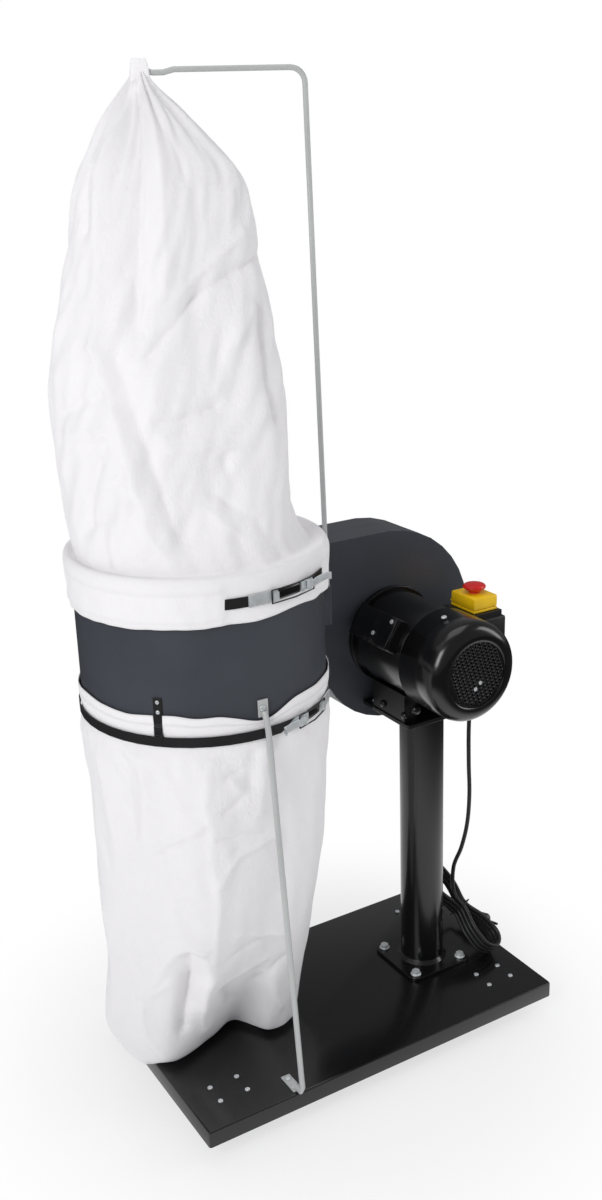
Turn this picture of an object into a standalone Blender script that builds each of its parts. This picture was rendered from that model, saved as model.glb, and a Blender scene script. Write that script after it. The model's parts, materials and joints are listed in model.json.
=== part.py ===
"""Single-bag dust collector: wheeled tray, pedestal, motor and fan, collector ring and two cloth bags.

Lengths are in metres. Inside the model the origin is the middle of the tray's top face, X runs along
the tray's long side, Y to the inlet side and Z up. The whole machine hangs on one empty, which puts the
middle of its footprint on the world origin with the wheels on Z = 0.
"""

import math

import bmesh
import bpy
from mathutils import Vector

# Fits, the distance within which corners are welded, and the steps of a smooth route between two knots
GAP = 0.0003
RUNNING_CLEARANCE = 0.0015
WELD_DISTANCE = 0.00001
ROUTE_STEPS = 12

# Place of the tray's middle, measured from the middle of the machine's footprint
TRAY_CENTRE_X = 0.0275
TRAY_CENTRE_Y = -0.014

# Folded-sheet tray
TRAY_LENGTH = 0.680
TRAY_MARGIN = 0.008
TRAY_DEPTH = 0.029
TRAY_SHEET = 0.0025
TRAY_CORNER = 0.004

# Swivel casters under the tray
CASTER_INSET_X = 0.072
CASTER_INSET_Y = 0.071
CASTER_PLATE_LENGTH = 0.066
CASTER_PLATE_WIDTH = 0.054
CASTER_PLATE_CORNER = 0.006
CASTER_PLATE_SHEET = 0.0025
KINGPIN_RADIUS = 0.005
KINGPIN_HEAD_RADIUS = 0.008
KINGPIN_HEAD = 0.002
CROWN_RADIUS = 0.021
CROWN_THICKNESS = 0.004
FORK_SHEET = 0.0022
FORK_TRAIL = 0.016
FORK_TIP_RADIUS = 0.010
WHEEL_RADIUS = 0.025
WHEEL_WIDTH = 0.020
WHEEL_EDGE = 0.004
WHEEL_HUB_RADIUS = 0.011
AXLE_RADIUS = 0.004
AXLE_HEAD_RADIUS = 0.0065
AXLE_HEAD = 0.002
AXLE_DROP = 0.0375

# Pedestal and its foot
PEDESTAL_X = 0.200
PEDESTAL_RADIUS = 0.038
PEDESTAL_WALL = 0.003
FOOT_SIZE = 0.128
FOOT_CORNER = 0.016
FOOT_THICKNESS = 0.006
WELD_BEAD = 0.006
FOOT_BOLT_SPREAD = 0.049
FOOT_BOLT_RADIUS = 0.004
FOOT_BOLT_HEAD_RADIUS = 0.0075
FOOT_BOLT_HEAD = 0.0055
WASHER_RADIUS = 0.0095
WASHER_THICKNESS = 0.0016
FOOT_BOLT_REACH = 0.008

# Bracket plate between pedestal and motor
BRACKET_LEFT_X = 0.130
BRACKET_RIGHT_X = 0.262
BRACKET_FRONT_Y = -0.059
BRACKET_CORNER = 0.006
BRACKET_TOP_Z = 0.500
BRACKET_THICKNESS = 0.007

# Motor, on an axis along Y
MOTOR_X = 0.190
MOTOR_Z = 0.611
MOTOR_RADIUS = 0.079
MOTOR_WALL = 0.007
MOTOR_BACK_Y = 0.0674
MOTOR_FRONT_Y = -0.0600
MOTOR_FOOT_SPREAD = 0.046
MOTOR_FOOT_WIDTH = 0.024
MOTOR_FOOT_LENGTH = 0.090
FLANGE_RADIUS = 0.085
FLANGE_REGISTER = 0.010
REAR_SHIELD_THICKNESS = 0.015
SHAFT_RADIUS = 0.0095
SHAFT_HOLE_RADIUS = 0.012
BEARING_RADIUS = 0.020
BEARING_WIDTH = 0.012
ROTOR_RADIUS = 0.045
ROTOR_LENGTH = 0.090
AIR_GAP = 0.0006
COVER_RADIUS = 0.084
COVER_WALL = 0.002
COVER_LAP = 0.009
COVER_LENGTH = 0.096
COVER_ROUND = 0.024
COVER_RIM = 0.005
SLOT_WIDTH = 0.0040
SLOT_PITCH = 0.0115
SLOT_FIELD_RADIUS = 0.052
COOLING_FAN_RADIUS = 0.070
COOLING_HUB_RADIUS = 0.016
COOLING_DISC = 0.003
COOLING_BLADE_HEIGHT = 0.024
COOLING_BLADES = 6
COOLING_BLADE_SHEET = 0.0025
COOLING_STANDOFF = 0.008

# Terminal box on the motor's upper left
TERMINAL_TILT = math.radians(58)
TERMINAL_LENGTH = 0.108
TERMINAL_WIDTH = 0.056
TERMINAL_TOP = 0.096
TERMINAL_BACK_Y = 0.062
TERMINAL_EDGE = 0.003
LID_LENGTH = 0.052
LID_THICKNESS = 0.003

# Fan housing: two pressed halves with a seam round the rim
HOUSING_FRONT_Y = 0.078
HOUSING_BACK_Y = 0.180
HOUSING_WALL = 0.002
SCROLL_START_ANGLE = math.radians(160)
SCROLL_END_ANGLE = math.radians(450)
SCROLL_START_RADIUS = 0.138
SCROLL_END_RADIUS = 0.182
SCROLL_POINTS = 30
INLET_RADIUS = 0.050
INLET_WALL = 0.0015
INLET_LENGTH = 0.055
INLET_FLANGE_RADIUS = 0.068
INLET_FLANGE = 0.003
INLET_BEAD = 0.0015

# Impeller
IMPELLER_RADIUS = 0.118
IMPELLER_DISC = 0.003
IMPELLER_HUB_RADIUS = 0.022
IMPELLER_HUB_LENGTH = 0.040
IMPELLER_STANDOFF = 0.007
IMPELLER_BLADES = 8
IMPELLER_BLADE_ROOT = 0.030
IMPELLER_BLADE_HEIGHT = 0.050
IMPELLER_BLADE_SHEET = 0.0025
IMPELLER_BLADE_SWEEP = math.radians(28)
IMPELLER_BLADE_POINTS = 4
IMPELLER_BOLT_WASHER = 0.016
IMPELLER_BOLT_HEAD = 0.009
IMPELLER_BOLT_HEIGHT = 0.006

# Collector ring
RING_X = -0.207
RING_RADIUS = 0.185
RING_WALL = 0.002
RING_BOTTOM_Z = 0.612
RING_TOP_Z = 0.852
RING_STEPS = 48

# Bands round the bag hems and their toggle latches
BAND_THICKNESS = 0.0012
BAND_WIDTH = 0.015
BAND_STEPS = 44
UPPER_BAND_Z = 0.828
LOWER_BAND_Z = 0.6295
RACK_LENGTH = 0.046
RACK_HEIGHT = 0.017
RACK_SHEET = 0.0015
RACK_TEETH = 5
RACK_TOOTH = 0.0035
CATCH_LENGTH = 0.009
CATCH_HEIGHT = 0.0125
CATCH_PROUD = 0.0040
BASE_LENGTH = 0.026
BASE_SHEET = 0.0015
PIVOT_RADIUS = 0.0016
PIVOT_STANDOFF = 0.0055
LUG_THICKNESS = 0.0015
LEVER_HEIGHT = 0.010
LEVER_SHEET = 0.0022
LEVER_LENGTH = 0.046
LEVER_EYE_RADIUS = 0.0034
BAIL_ARM = 0.012
BAIL_WIRE_RADIUS = 0.0012
BAIL_HALF_HEIGHT = 0.0095
BAIL_BOW = 0.0045
UPPER_RACK_ANGLE = math.radians(-89)
UPPER_BASE_ANGLE = math.radians(-64)
LOWER_RACK_ANGLE = math.radians(-48)
LOWER_BASE_ANGLE = math.radians(-70)
BAND_END_LAP = math.radians(3)

# Hook that holds the lower band up
HOOK_ANGLE = math.radians(-137)
HOOK_WIDTH = 0.013
HOOK_SHEET = 0.0015
HOOK_TOP_Z = 0.694
HOOK_LIP = 0.006

# Strut from the ring down to the tray's front edge
STRUT_ANGLE = math.radians(-91)
STRUT_RADIUS = 0.0045
STRUT_TAB_WIDTH = 0.016
STRUT_TAB_HEIGHT = 0.026
STRUT_TAB_SHEET = 0.003
STRUT_TAB_TOP_Z = 0.680
STRUT_STANDOFF = 0.014
STRUT_FOOT_X = -0.179
STRUT_TOE_OVERHANG = 0.010
STRUT_FOOT_LENGTH = 0.056
STRUT_FOOT_WIDTH = 0.016

# Hanger rod and its socket on the ring
HANGER_ANGLE = math.radians(-15)
HANGER_RADIUS = 0.004
HANGER_STANDOFF = 0.0135
HANGER_FOOT_Z = 0.712
HANGER_BEND_Z = 1.486
HANGER_BEND_STEPS = 6
HANGER_ARM_Z = 1.506
HANGER_LEAN = 0.012
HANGER_TIP_X = -0.236
HANGER_TIP_Y = 0.017
HANGER_DIP = 0.007
SOCKET_LENGTH = 0.060
SOCKET_WALL = 0.002

# Cloth bags: height, sideways shift towards the hanger's tip, and half width and half depth,
# both as shares of the ring's radius
BAG_CLOTH = 0.0015
BAG_STEPS = 24
FILTER_HEM_Z = 0.800
FILTER_ROLL = 0.007
FILTER_STATIONS = (
    (0.884, 0.016, 0.9243, 0.9243),
    (0.950, 0.024, 0.8973, 0.8973),
    (1.080, 0.025, 0.9081, 0.9081),
    (1.164, 0.024, 0.8541, 0.8541),
    (1.250, 0.024, 0.7622, 0.7622),
    (1.320, 0.021, 0.6811, 0.6811),
    (1.380, 0.021, 0.5838, 0.5838),
    (1.428, 0.029, 0.4000, 0.4000),
    (1.484, 0.036, 0.1297, 0.1297),
    (1.496, 0.037, 0.0649, 0.0649),
)
# Slack folds: waves round the bag, phase, drift of the phase per metre of height, and depth
FILTER_FOLDS = ((3, 0.5, 2.2, 0.010), (5, 2.1, -3.4, 0.008))
FILTER_FOLD_START_Z = 0.870
COLLECTION_FOLDS = ((4, 1.2, 1.6, 0.007), (6, 0.3, -2.4, 0.006))
COLLECTION_FOLD_START_Z = 0.600
FOLD_FADE = 0.100
FOLD_SINK = 0.75
COLLECTION_HEM_Z = 0.650
COLLECTION_STATIONS = (
    (0.590, 0.003, 1.0324, 1.0324),
    (0.495, 0.006, 1.0216, 1.0216),
    (0.400, 0.007, 1.0124, 0.9890),
    (0.300, 0.010, 1.0022, 0.8700),
    (0.210, 0.010, 0.9703, 0.6640),
    (0.140, 0.016, 0.9827, 0.4810),
    (0.080, 0.026, 0.9838, 0.3300),
    (0.030, 0.030, 0.9486, 0.2200),
    (0.006, 0.030, 0.8850, 0.1600),
)
# The bottom seam's wander on the tray, as lengths along and across the tray, and the height it dies out at
SEAM_LINE = (
    (-0.420, 0.060), (-0.335, -0.007), (-0.237, 0.020), (-0.185, 0.039),
    (-0.149, -0.023), (-0.095, -0.021), (-0.030, 0.040),
)
SEAM_REACH_Z = 0.300

# Switch on the motor's right side
SWITCH_FRONT_Y = -0.045
SWITCH_BACK_Y = 0.040
SWITCH_RIGHT_X = 0.345
SWITCH_TOP_Z = 0.655
SWITCH_BOTTOM_Z = 0.565
SWITCH_EDGE = 0.003
SWITCH_NECK_INSET = 0.005
SWITCH_NECK_HEIGHT = 0.010
SWITCH_POCKET_DEPTH = 0.024
PANEL_WIDTH = 0.050
PANEL_LENGTH = 0.064
PANEL_THICKNESS = 0.005
PANEL_X = 0.310
PANEL_Y = -0.002
BUTTON_SPREAD = 0.011
BUTTON_WIDTH = 0.014
BUTTON_LENGTH = 0.020
BUTTON_PROUD = 0.0045
BUTTON_DEPTH = 0.010
FLAP_HEIGHT = 0.021
FLAP_WALL = 0.002
FLAP_EDGE = 0.003
FLAP_HINGE_BARREL = 0.0025
MUSHROOM_RADIUS = 0.020
MUSHROOM_HEIGHT = 0.013
MUSHROOM_STEM_RADIUS = 0.009
MUSHROOM_FLANGE_RADIUS = 0.011
MUSHROOM_FLANGE = 0.002
MUSHROOM_ROOM = 0.004
GLAND_X = 0.305
GLAND_Y = 0.000
GLAND_RADIUS = 0.010
GLAND_TIP_RADIUS = 0.0058
GLAND_LENGTH = 0.030

# Mains cord: hanging stretch, tied hank and plug
CORD_RADIUS = 0.0037
CORD_JOIN_GAP = 0.0007
GLAND_LEAD = 0.020
HANK_LEAD_IN = 0.030
HANK_LEAD_OUT = 0.020
PLUG_LEAD = 0.014
HANK_LOW = Vector((0.310, -0.070, 0.0142))
HANK_HIGH = Vector((0.2490, 0.0525, 0.140))
HANK_LOOPS = 3.5
HANK_POINTS_PER_LOOP = 20
HANK_HALF_WIDTH = 0.024
HANK_WAIST_HALF_WIDTH = 0.0066
HANK_WAIST_REACH = 0.030
HANK_PITCH = 0.0090
TIE_RADIUS = 0.0012
PLUG_CENTRE = Vector((0.337, 0.010, 0.0186))
PLUG_RADIUS = 0.018
PLUG_LENGTH = 0.038
PLUG_NECK_RADIUS = 0.0085
PLUG_NECK_LENGTH = 0.024
PLUG_TURN = math.radians(200)
PLUG_PIN_RADIUS = 0.0024
PLUG_PIN_LENGTH = 0.019
PLUG_PIN_SPREAD = 0.0095

# Worked out from the sizes above
TRAY_TOP_Z = AXLE_DROP + WHEEL_RADIUS + TRAY_SHEET
TRAY_WIDTH = 2 * (RING_RADIUS + TRAY_MARGIN)
CASTER_SPREAD_X = TRAY_LENGTH / 2 - CASTER_INSET_X
CASTER_SPREAD_Y = TRAY_WIDTH / 2 - CASTER_INSET_Y
STRUT_FOOT_Y = -TRAY_WIDTH / 2 - STRUT_TOE_OVERHANG
HEM_RADIUS = (RING_RADIUS + GAP + BAG_CLOTH) / math.cos(math.pi / BAG_STEPS)
BAND_INNER_RADIUS = HEM_RADIUS + GAP
BAND_OUTER_RADIUS = BAND_INNER_RADIUS + BAND_THICKNESS
HOUSING_SEAM_Y = (HOUSING_FRONT_Y + HOUSING_BACK_Y) / 2
DUCT_TOP_Z = MOTOR_Z + SCROLL_END_RADIUS
DUCT_BOTTOM_Z = MOTOR_Z + SCROLL_START_RADIUS * math.sin(SCROLL_START_ANGLE)
FLANGE_BACK_Y = HOUSING_FRONT_Y - GAP
COVER_OPEN_Y = MOTOR_FRONT_Y - GAP - REAR_SHIELD_THICKNESS + COVER_LAP
SHAFT_BACK_Y = HOUSING_FRONT_Y + HOUSING_WALL + IMPELLER_STANDOFF + IMPELLER_HUB_LENGTH

COLOURS = {
    "gloss_black": ((0.010, 0.010, 0.011), 0.22, 0.0),
    "anthracite": ((0.045, 0.050, 0.057), 0.40, 0.0),
    "zinc": ((0.62, 0.66, 0.68), 0.32, 1.0),
    "pale_grey": ((0.50, 0.50, 0.48), 0.38, 0.0),
    "steel": ((0.45, 0.45, 0.46), 0.35, 1.0),
    "laminations": ((0.20, 0.20, 0.21), 0.50, 1.0),
    "black_plastic": ((0.014, 0.014, 0.015), 0.45, 0.0),
    "tyre_grey": ((0.10, 0.10, 0.10), 0.60, 0.0),
    "yellow": ((0.85, 0.55, 0.01), 0.40, 0.0),
    "red": ((0.62, 0.02, 0.02), 0.40, 0.0),
    "green": ((0.02, 0.30, 0.06), 0.40, 0.0),
    "white_cotton": ((0.82, 0.82, 0.81), 0.90, 0.0),
    "cord_black": ((0.012, 0.012, 0.013), 0.50, 0.0),
}

PARTS = None
CUTTERS = None
MACHINE = None


def clear_scene():
    """Remove what the file holds and make the two collections and the machine's empty."""
    global PARTS, CUTTERS, MACHINE
    for old in list(bpy.data.objects):
        bpy.data.objects.remove(old, do_unlink=True)
    PARTS = bpy.data.collections.new("dust_collector")
    CUTTERS = bpy.data.collections.new("cutters")
    for collection in (PARTS, CUTTERS):
        bpy.context.scene.collection.children.link(collection)
    MACHINE = empty("machine", (TRAY_CENTRE_X, TRAY_CENTRE_Y, TRAY_TOP_Z))


def empty(name, location, rotation=(0, 0, 0), parent=None):
    """An empty that places what hangs on it."""
    holder = bpy.data.objects.new(name, None)
    holder.location = location
    holder.rotation_euler = rotation
    holder.parent = parent
    PARTS.objects.link(holder)
    return holder


def finish_material(finish):
    """The Principled material for one finish, made on first use."""
    made = bpy.data.materials.get(finish)
    if made:
        return made
    colour, roughness, metallic = COLOURS[finish]
    made = bpy.data.materials.new(finish)
    made.use_nodes = True
    shader = made.node_tree.nodes["Principled BSDF"]
    shader.inputs["Base Color"].default_value = (*colour, 1.0)
    shader.inputs["Roughness"].default_value = roughness
    shader.inputs["Metallic"].default_value = metallic
    return made


def add_object(name, data, finish=None, parent=None, location=(0, 0, 0), rotation=(0, 0, 0)):
    """Link new data as a part, or as a hidden cutter where no finish is given."""
    made = bpy.data.objects.new(name, data)
    made.parent = parent or MACHINE
    made.location = location
    made.rotation_euler = rotation
    if finish:
        PARTS.objects.link(made)
        data.materials.append(finish_material(finish))
    else:
        CUTTERS.objects.link(made)
        made.hide_render = True
        made.display_type = "WIRE"
    return made


def mesh_of(name, shape, smooth_angle=math.radians(35)):
    """Turn a bmesh into mesh data, shaded smooth but for its sharp edges."""
    bmesh.ops.recalc_face_normals(shape, faces=shape.faces)
    data = bpy.data.meshes.new(name)
    shape.to_mesh(data)
    shape.free()
    data.shade_smooth()
    data.set_sharp_from_angle(angle=smooth_angle)
    return data


def box(name, low, high, finish=None, edge=0.0, segments=2, **place):
    """A box between two corners, with rounded edges where edge is above zero."""
    shape = bmesh.new()
    bmesh.ops.create_cube(shape, size=1.0)
    low, high = Vector(low), Vector(high)
    for vert in shape.verts:
        vert.co = Vector(l + (h - l) * (c + 0.5) for l, h, c in zip(low, high, vert.co))
    if edge:
        bmesh.ops.bevel(
            shape, geom=shape.edges[:], offset=edge, segments=segments, profile=0.5, affect="EDGES"
        )
    return add_object(name, mesh_of(name, shape), finish, **place)


def cylinder(name, radius, bottom, top, finish=None, segments=24, tip_radius=None, **place):
    """A round bar or cone along Z."""
    shape = bmesh.new()
    tip = radius if tip_radius is None else tip_radius
    bmesh.ops.create_cone(
        shape, cap_ends=True, segments=segments, radius1=radius, radius2=tip, depth=top - bottom
    )
    bmesh.ops.translate(shape, verts=shape.verts, vec=(0, 0, (top + bottom) / 2))
    return add_object(name, mesh_of(name, shape), finish, **place)


def turned(name, profile, finish=None, steps=32, closed=True, **place):
    """A profile of (radius, height) points, outer side running down, turned about Z."""
    shape = bmesh.new()
    verts = [shape.verts.new((r, 0, z)) for r, z in profile]
    for a, b in zip(verts, verts[1:]):
        shape.edges.new((a, b))
    if closed:
        shape.edges.new((verts[-1], verts[0]))
    data = bpy.data.meshes.new(name)
    shape.to_mesh(data)
    shape.free()
    made = add_object(name, data, finish, **place)
    screw = made.modifiers.new("turn", "SCREW")
    screw.axis = "Z"
    screw.angle = math.tau
    screw.steps = steps
    screw.render_steps = steps
    screw.use_merge_vertices = True
    screw.merge_threshold = WELD_DISTANCE
    screw.use_smooth_shade = True
    return made


def extruded(name, outline, thickness, finish=None, plane="XY", holes=(), **place):
    """A flat outline given as (u, v) points, with holes, thickened evenly to both sides of its plane."""
    curve = bpy.data.curves.new(name, "CURVE")
    curve.dimensions = "2D"
    curve.fill_mode = "BOTH"
    curve.extrude = thickness / 2
    for loop in (outline, *holes):
        spline = curve.splines.new("POLY")
        spline.points.add(len(loop) - 1)
        for point, (u, v) in zip(spline.points, loop):
            point.co = (u, v, 0, 1)
        spline.use_cyclic_u = True
    flat = bpy.data.objects.new(name, curve)
    PARTS.objects.link(flat)
    bpy.context.view_layer.update()
    graph = bpy.context.evaluated_depsgraph_get()
    data = bpy.data.meshes.new_from_object(flat.evaluated_get(graph))
    bpy.data.objects.remove(flat, do_unlink=True)
    bpy.data.curves.remove(curve)
    shape = bmesh.new()
    shape.from_mesh(data)
    bpy.data.meshes.remove(data)
    bmesh.ops.remove_doubles(shape, verts=shape.verts, dist=WELD_DISTANCE)
    turn = {"XY": lambda c: c, "XZ": lambda c: (c.x, -c.z, c.y), "YZ": lambda c: (c.z, c.x, c.y)}[plane]
    for vert in shape.verts:
        vert.co = turn(vert.co.copy())
    return add_object(name, mesh_of(name, shape), finish, **place)


def tube(name, points, radius, finish, bevel_resolution=2, cyclic=False, **place):
    """A round wire, rod or cord along a list of points."""
    curve = bpy.data.curves.new(name, "CURVE")
    curve.dimensions = "3D"
    curve.bevel_depth = radius
    curve.bevel_resolution = bevel_resolution
    curve.use_fill_caps = True
    spline = curve.splines.new("POLY")
    spline.points.add(len(points) - 1)
    for point, place_at in zip(spline.points, points):
        point.co = (*place_at, 1)
    spline.use_cyclic_u = cyclic
    return add_object(name, curve, finish, **place)


def as_mesh(made):
    """Replace a curve object by its mesh, with the caps welded on, so that it can be cut or joined."""
    bpy.context.view_layer.update()
    graph = bpy.context.evaluated_depsgraph_get()
    data = bpy.data.meshes.new_from_object(made.evaluated_get(graph))
    shape = bmesh.new()
    shape.from_mesh(data)
    bmesh.ops.remove_doubles(shape, verts=shape.verts, dist=WELD_DISTANCE)
    bmesh.ops.recalc_face_normals(shape, faces=shape.faces)
    shape.to_mesh(data)
    shape.free()
    name, parent, matrix = made.name, made.parent, made.matrix_world.copy()
    collection = made.users_collection[0]
    hidden = made.hide_render
    bpy.data.objects.remove(made, do_unlink=True)
    solid = bpy.data.objects.new(name, data)
    collection.objects.link(solid)
    solid.parent = parent
    solid.matrix_world = matrix
    solid.hide_render = hidden
    return solid


def combine(target, tool, operation, solver="EXACT"):
    """Add a Boolean of a hidden tool object to the target."""
    step = target.modifiers.new(tool.name, "BOOLEAN")
    step.operation = operation
    step.object = tool
    step.solver = solver
    return target


def cut(target, *tools):
    """Cut the tools out of the target."""
    for tool in tools:
        combine(target, tool, "DIFFERENCE")
    return target


def join(target, *tools, solver="EXACT"):
    """Weld the tools onto the target."""
    for tool in tools:
        combine(target, tool, "UNION", solver)
    return target


def arc(centre, radius, start, end, count):
    """Points (u, v) along an arc, both ends included."""
    steps = [start + (end - start) * k / (count - 1) for k in range(count)]
    return [(centre[0] + radius * math.cos(a), centre[1] + radius * math.sin(a)) for a in steps]


def rounded_rectangle(width, depth, corner, count=5):
    """The outline of a rectangle about its middle, with round corners."""
    outline = []
    for quarter, (sx, sy) in enumerate(((1, 1), (-1, 1), (-1, -1), (1, -1))):
        middle = (sx * (width / 2 - corner), sy * (depth / 2 - corner))
        start = quarter * math.pi / 2
        outline += arc(middle, corner, start, start + math.pi / 2, count)
    return outline


def hexagon(radius):
    """A hexagon's outline, radius to its corners."""
    return arc((0, 0), radius, 0, math.tau * 5 / 6, 6)


def ring_point(angle, radial, along=0.0):
    """A point seen from the ring's axis: radial out at an angle, then along the tangent there."""
    out = Vector((math.cos(angle), math.sin(angle)))
    tangent = Vector((-out.y, out.x))
    return out * radial + tangent * along


def smooth_route(knots, spacing):
    """Points at an even spacing on a smooth curve through hand-chosen knots."""
    knots = [Vector(k) for k in knots]
    padded = [2 * knots[0] - knots[1], *knots, 2 * knots[-1] - knots[-2]]
    fine = [knots[0]]
    for a, b, c, d in zip(padded, padded[1:], padded[2:], padded[3:]):
        for k in range(1, ROUTE_STEPS + 1):
            t = k / ROUTE_STEPS
            bend = (2 * a - 5 * b + 4 * c - d) * t * t + (3 * b - a - 3 * c + d) * t * t * t
            fine.append((2 * b + (c - a) * t + bend) / 2)
    length = sum((q - p).length for p, q in zip(fine, fine[1:]))
    count = max(2, round(length / spacing))
    route, walked, target = [fine[0]], 0.0, length / count
    for p, q in zip(fine, fine[1:]):
        step = (q - p).length
        while walked + step >= target and len(route) < count:
            route.append(p.lerp(q, (target - walked) / step))
            target += length / count
        walked += step
    route.append(fine[-1])
    return route


def make_tray():
    """The folded-sheet base: a top with a skirt, open below, drilled for the pedestal's bolts."""
    shape = bmesh.new()
    bmesh.ops.create_cube(shape, size=1.0)
    bmesh.ops.scale(shape, verts=shape.verts, vec=(TRAY_LENGTH, TRAY_WIDTH, TRAY_DEPTH))
    bmesh.ops.translate(shape, verts=shape.verts, vec=(0, 0, -TRAY_DEPTH / 2))
    bottom = [f for f in shape.faces if f.normal.z < -0.5]
    bmesh.ops.delete(shape, geom=bottom, context="FACES_ONLY")
    bends = [e for e in shape.edges if not e.is_boundary]
    bmesh.ops.bevel(shape, geom=bends, offset=TRAY_CORNER, segments=2, profile=0.5, affect="EDGES")
    tray = add_object("base_tray", mesh_of("base_tray", shape), "gloss_black")
    sheet = tray.modifiers.new("sheet", "SOLIDIFY")
    sheet.thickness = TRAY_SHEET
    sheet.offset = -1
    sheet.use_even_offset = True
    for number, (x, y) in enumerate(foot_bolt_places()):
        hole = cylinder(
            f"tray_hole_{number}", FOOT_BOLT_RADIUS + GAP, -TRAY_DEPTH, TRAY_DEPTH,
            segments=10, location=(x, y, 0),
        )
        cut(tray, hole)


def foot_bolt_places():
    """The four bolt places on the pedestal's foot."""
    signs = ((1, 1), (-1, 1), (-1, -1), (1, -1))
    return [(PEDESTAL_X + sx * FOOT_BOLT_SPREAD, sy * FOOT_BOLT_SPREAD) for sx, sy in signs]


def make_caster(corner, x, y, heading):
    """One swivel caster: plate with kingpin, fork with axle, and wheel."""
    swivel = empty(f"caster_swivel_{corner}", (x, y, -TRAY_SHEET), (0, 0, heading), MACHINE)
    plate_bottom = -GAP - CASTER_PLATE_SHEET
    crown_top = plate_bottom - GAP
    crown_bottom = crown_top - CROWN_THICKNESS
    head_top = crown_bottom - GAP
    outline = rounded_rectangle(CASTER_PLATE_LENGTH, CASTER_PLATE_WIDTH, CASTER_PLATE_CORNER, 3)
    plate = extruded(
        f"caster_plate_{corner}", outline, CASTER_PLATE_SHEET, "zinc",
        location=(x, y, -TRAY_SHEET - GAP - CASTER_PLATE_SHEET / 2),
    )
    pin_profile = (
        (0, plate_bottom + CASTER_PLATE_SHEET / 2),
        (KINGPIN_RADIUS, plate_bottom + CASTER_PLATE_SHEET / 2),
        (KINGPIN_RADIUS, head_top),
        (KINGPIN_HEAD_RADIUS, head_top),
        (KINGPIN_HEAD_RADIUS, head_top - KINGPIN_HEAD),
        (0, head_top - KINGPIN_HEAD),
    )
    pin = turned(f"kingpin_{corner}", pin_profile, steps=10, closed=False, location=(x, y, -TRAY_SHEET))
    join(plate, pin)
    bore = KINGPIN_RADIUS + GAP
    crown_profile = (
        (CROWN_RADIUS, crown_top), (CROWN_RADIUS, crown_bottom), (bore, crown_bottom), (bore, crown_top),
    )
    fork = turned(f"caster_fork_{corner}", crown_profile, "zinc", steps=16, parent=swivel)
    leg_middle = WHEEL_WIDTH / 2 + RUNNING_CLEARANCE + FORK_SHEET / 2
    leg_top = crown_top - CROWN_THICKNESS / 4
    half = math.sqrt(CROWN_RADIUS ** 2 - (leg_middle + FORK_SHEET) ** 2) - GAP
    leg = [(-half, crown_bottom + GAP), (-half, leg_top), (half, leg_top), (half, crown_bottom + GAP)]
    leg = leg[::-1] + arc((FORK_TRAIL, -AXLE_DROP), FORK_TIP_RADIUS, math.radians(205), math.radians(375), 5)
    for side in (-1, 1):
        cheek = extruded(
            f"fork_leg_{corner}_{side}", leg, FORK_SHEET, plane="XZ", parent=swivel,
            location=(0, side * leg_middle, 0),
        )
        join(fork, cheek)
    reach = leg_middle + FORK_SHEET / 2 + AXLE_HEAD
    axle_profile = (
        (0, reach), (AXLE_HEAD_RADIUS, reach), (AXLE_HEAD_RADIUS, leg_middle), (AXLE_RADIUS, leg_middle),
        (AXLE_RADIUS, -leg_middle), (AXLE_HEAD_RADIUS, -leg_middle), (AXLE_HEAD_RADIUS, -reach), (0, -reach),
    )
    along_axle = {
        "parent": swivel, "location": (FORK_TRAIL, 0, -AXLE_DROP), "rotation": (math.radians(-90), 0, 0),
    }
    axle = turned(f"axle_{corner}", axle_profile, steps=8, closed=False, **along_axle)
    join(fork, axle)
    half_width = WHEEL_WIDTH / 2
    wheel_bore = AXLE_RADIUS + GAP
    wheel_profile = (
        (wheel_bore, half_width), (WHEEL_HUB_RADIUS, half_width),
        (WHEEL_RADIUS - WHEEL_EDGE, half_width - WHEEL_EDGE / 4), (WHEEL_RADIUS, half_width - WHEEL_EDGE),
        (WHEEL_RADIUS, WHEEL_EDGE - half_width), (WHEEL_RADIUS - WHEEL_EDGE, WHEEL_EDGE / 4 - half_width),
        (WHEEL_HUB_RADIUS, -half_width), (wheel_bore, -half_width),
    )
    turned(f"caster_wheel_{corner}", wheel_profile, "tyre_grey", steps=18, **along_axle)


def make_pedestal():
    """Foot plate, welded tube, and the four bolts that hold them to the tray."""
    foot_bottom = GAP
    foot_top = foot_bottom + FOOT_THICKNESS
    tube_top = BRACKET_TOP_Z - BRACKET_THICKNESS - GAP
    outline = rounded_rectangle(FOOT_SIZE, FOOT_SIZE, FOOT_CORNER)
    pedestal = extruded(
        "pedestal", outline, FOOT_THICKNESS, "gloss_black",
        location=(PEDESTAL_X, 0, foot_bottom + FOOT_THICKNESS / 2),
    )
    inner = PEDESTAL_RADIUS - PEDESTAL_WALL
    root = foot_bottom + FOOT_THICKNESS / 2
    profile = (
        (PEDESTAL_RADIUS, tube_top), (PEDESTAL_RADIUS, foot_top + WELD_BEAD),
        (PEDESTAL_RADIUS + WELD_BEAD, foot_top), (PEDESTAL_RADIUS + WELD_BEAD, root),
        (inner, root), (inner, tube_top),
    )
    column = turned("pedestal_column", profile, steps=28, location=(PEDESTAL_X, 0, 0))
    join(pedestal, column)
    for number, (x, y) in enumerate(foot_bolt_places()):
        hole = cylinder(
            f"foot_hole_{number}", FOOT_BOLT_RADIUS + GAP, 0, 2 * foot_top, location=(x, y, 0), segments=10
        )
        cut(pedestal, hole)
        make_hex_bolt(
            f"pedestal_bolt_{number + 1}", (x, y, foot_top + GAP), FOOT_BOLT_RADIUS, FOOT_BOLT_HEAD_RADIUS,
            FOOT_BOLT_HEAD, WASHER_RADIUS, foot_top + GAP + TRAY_SHEET + FOOT_BOLT_REACH,
        )


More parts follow.
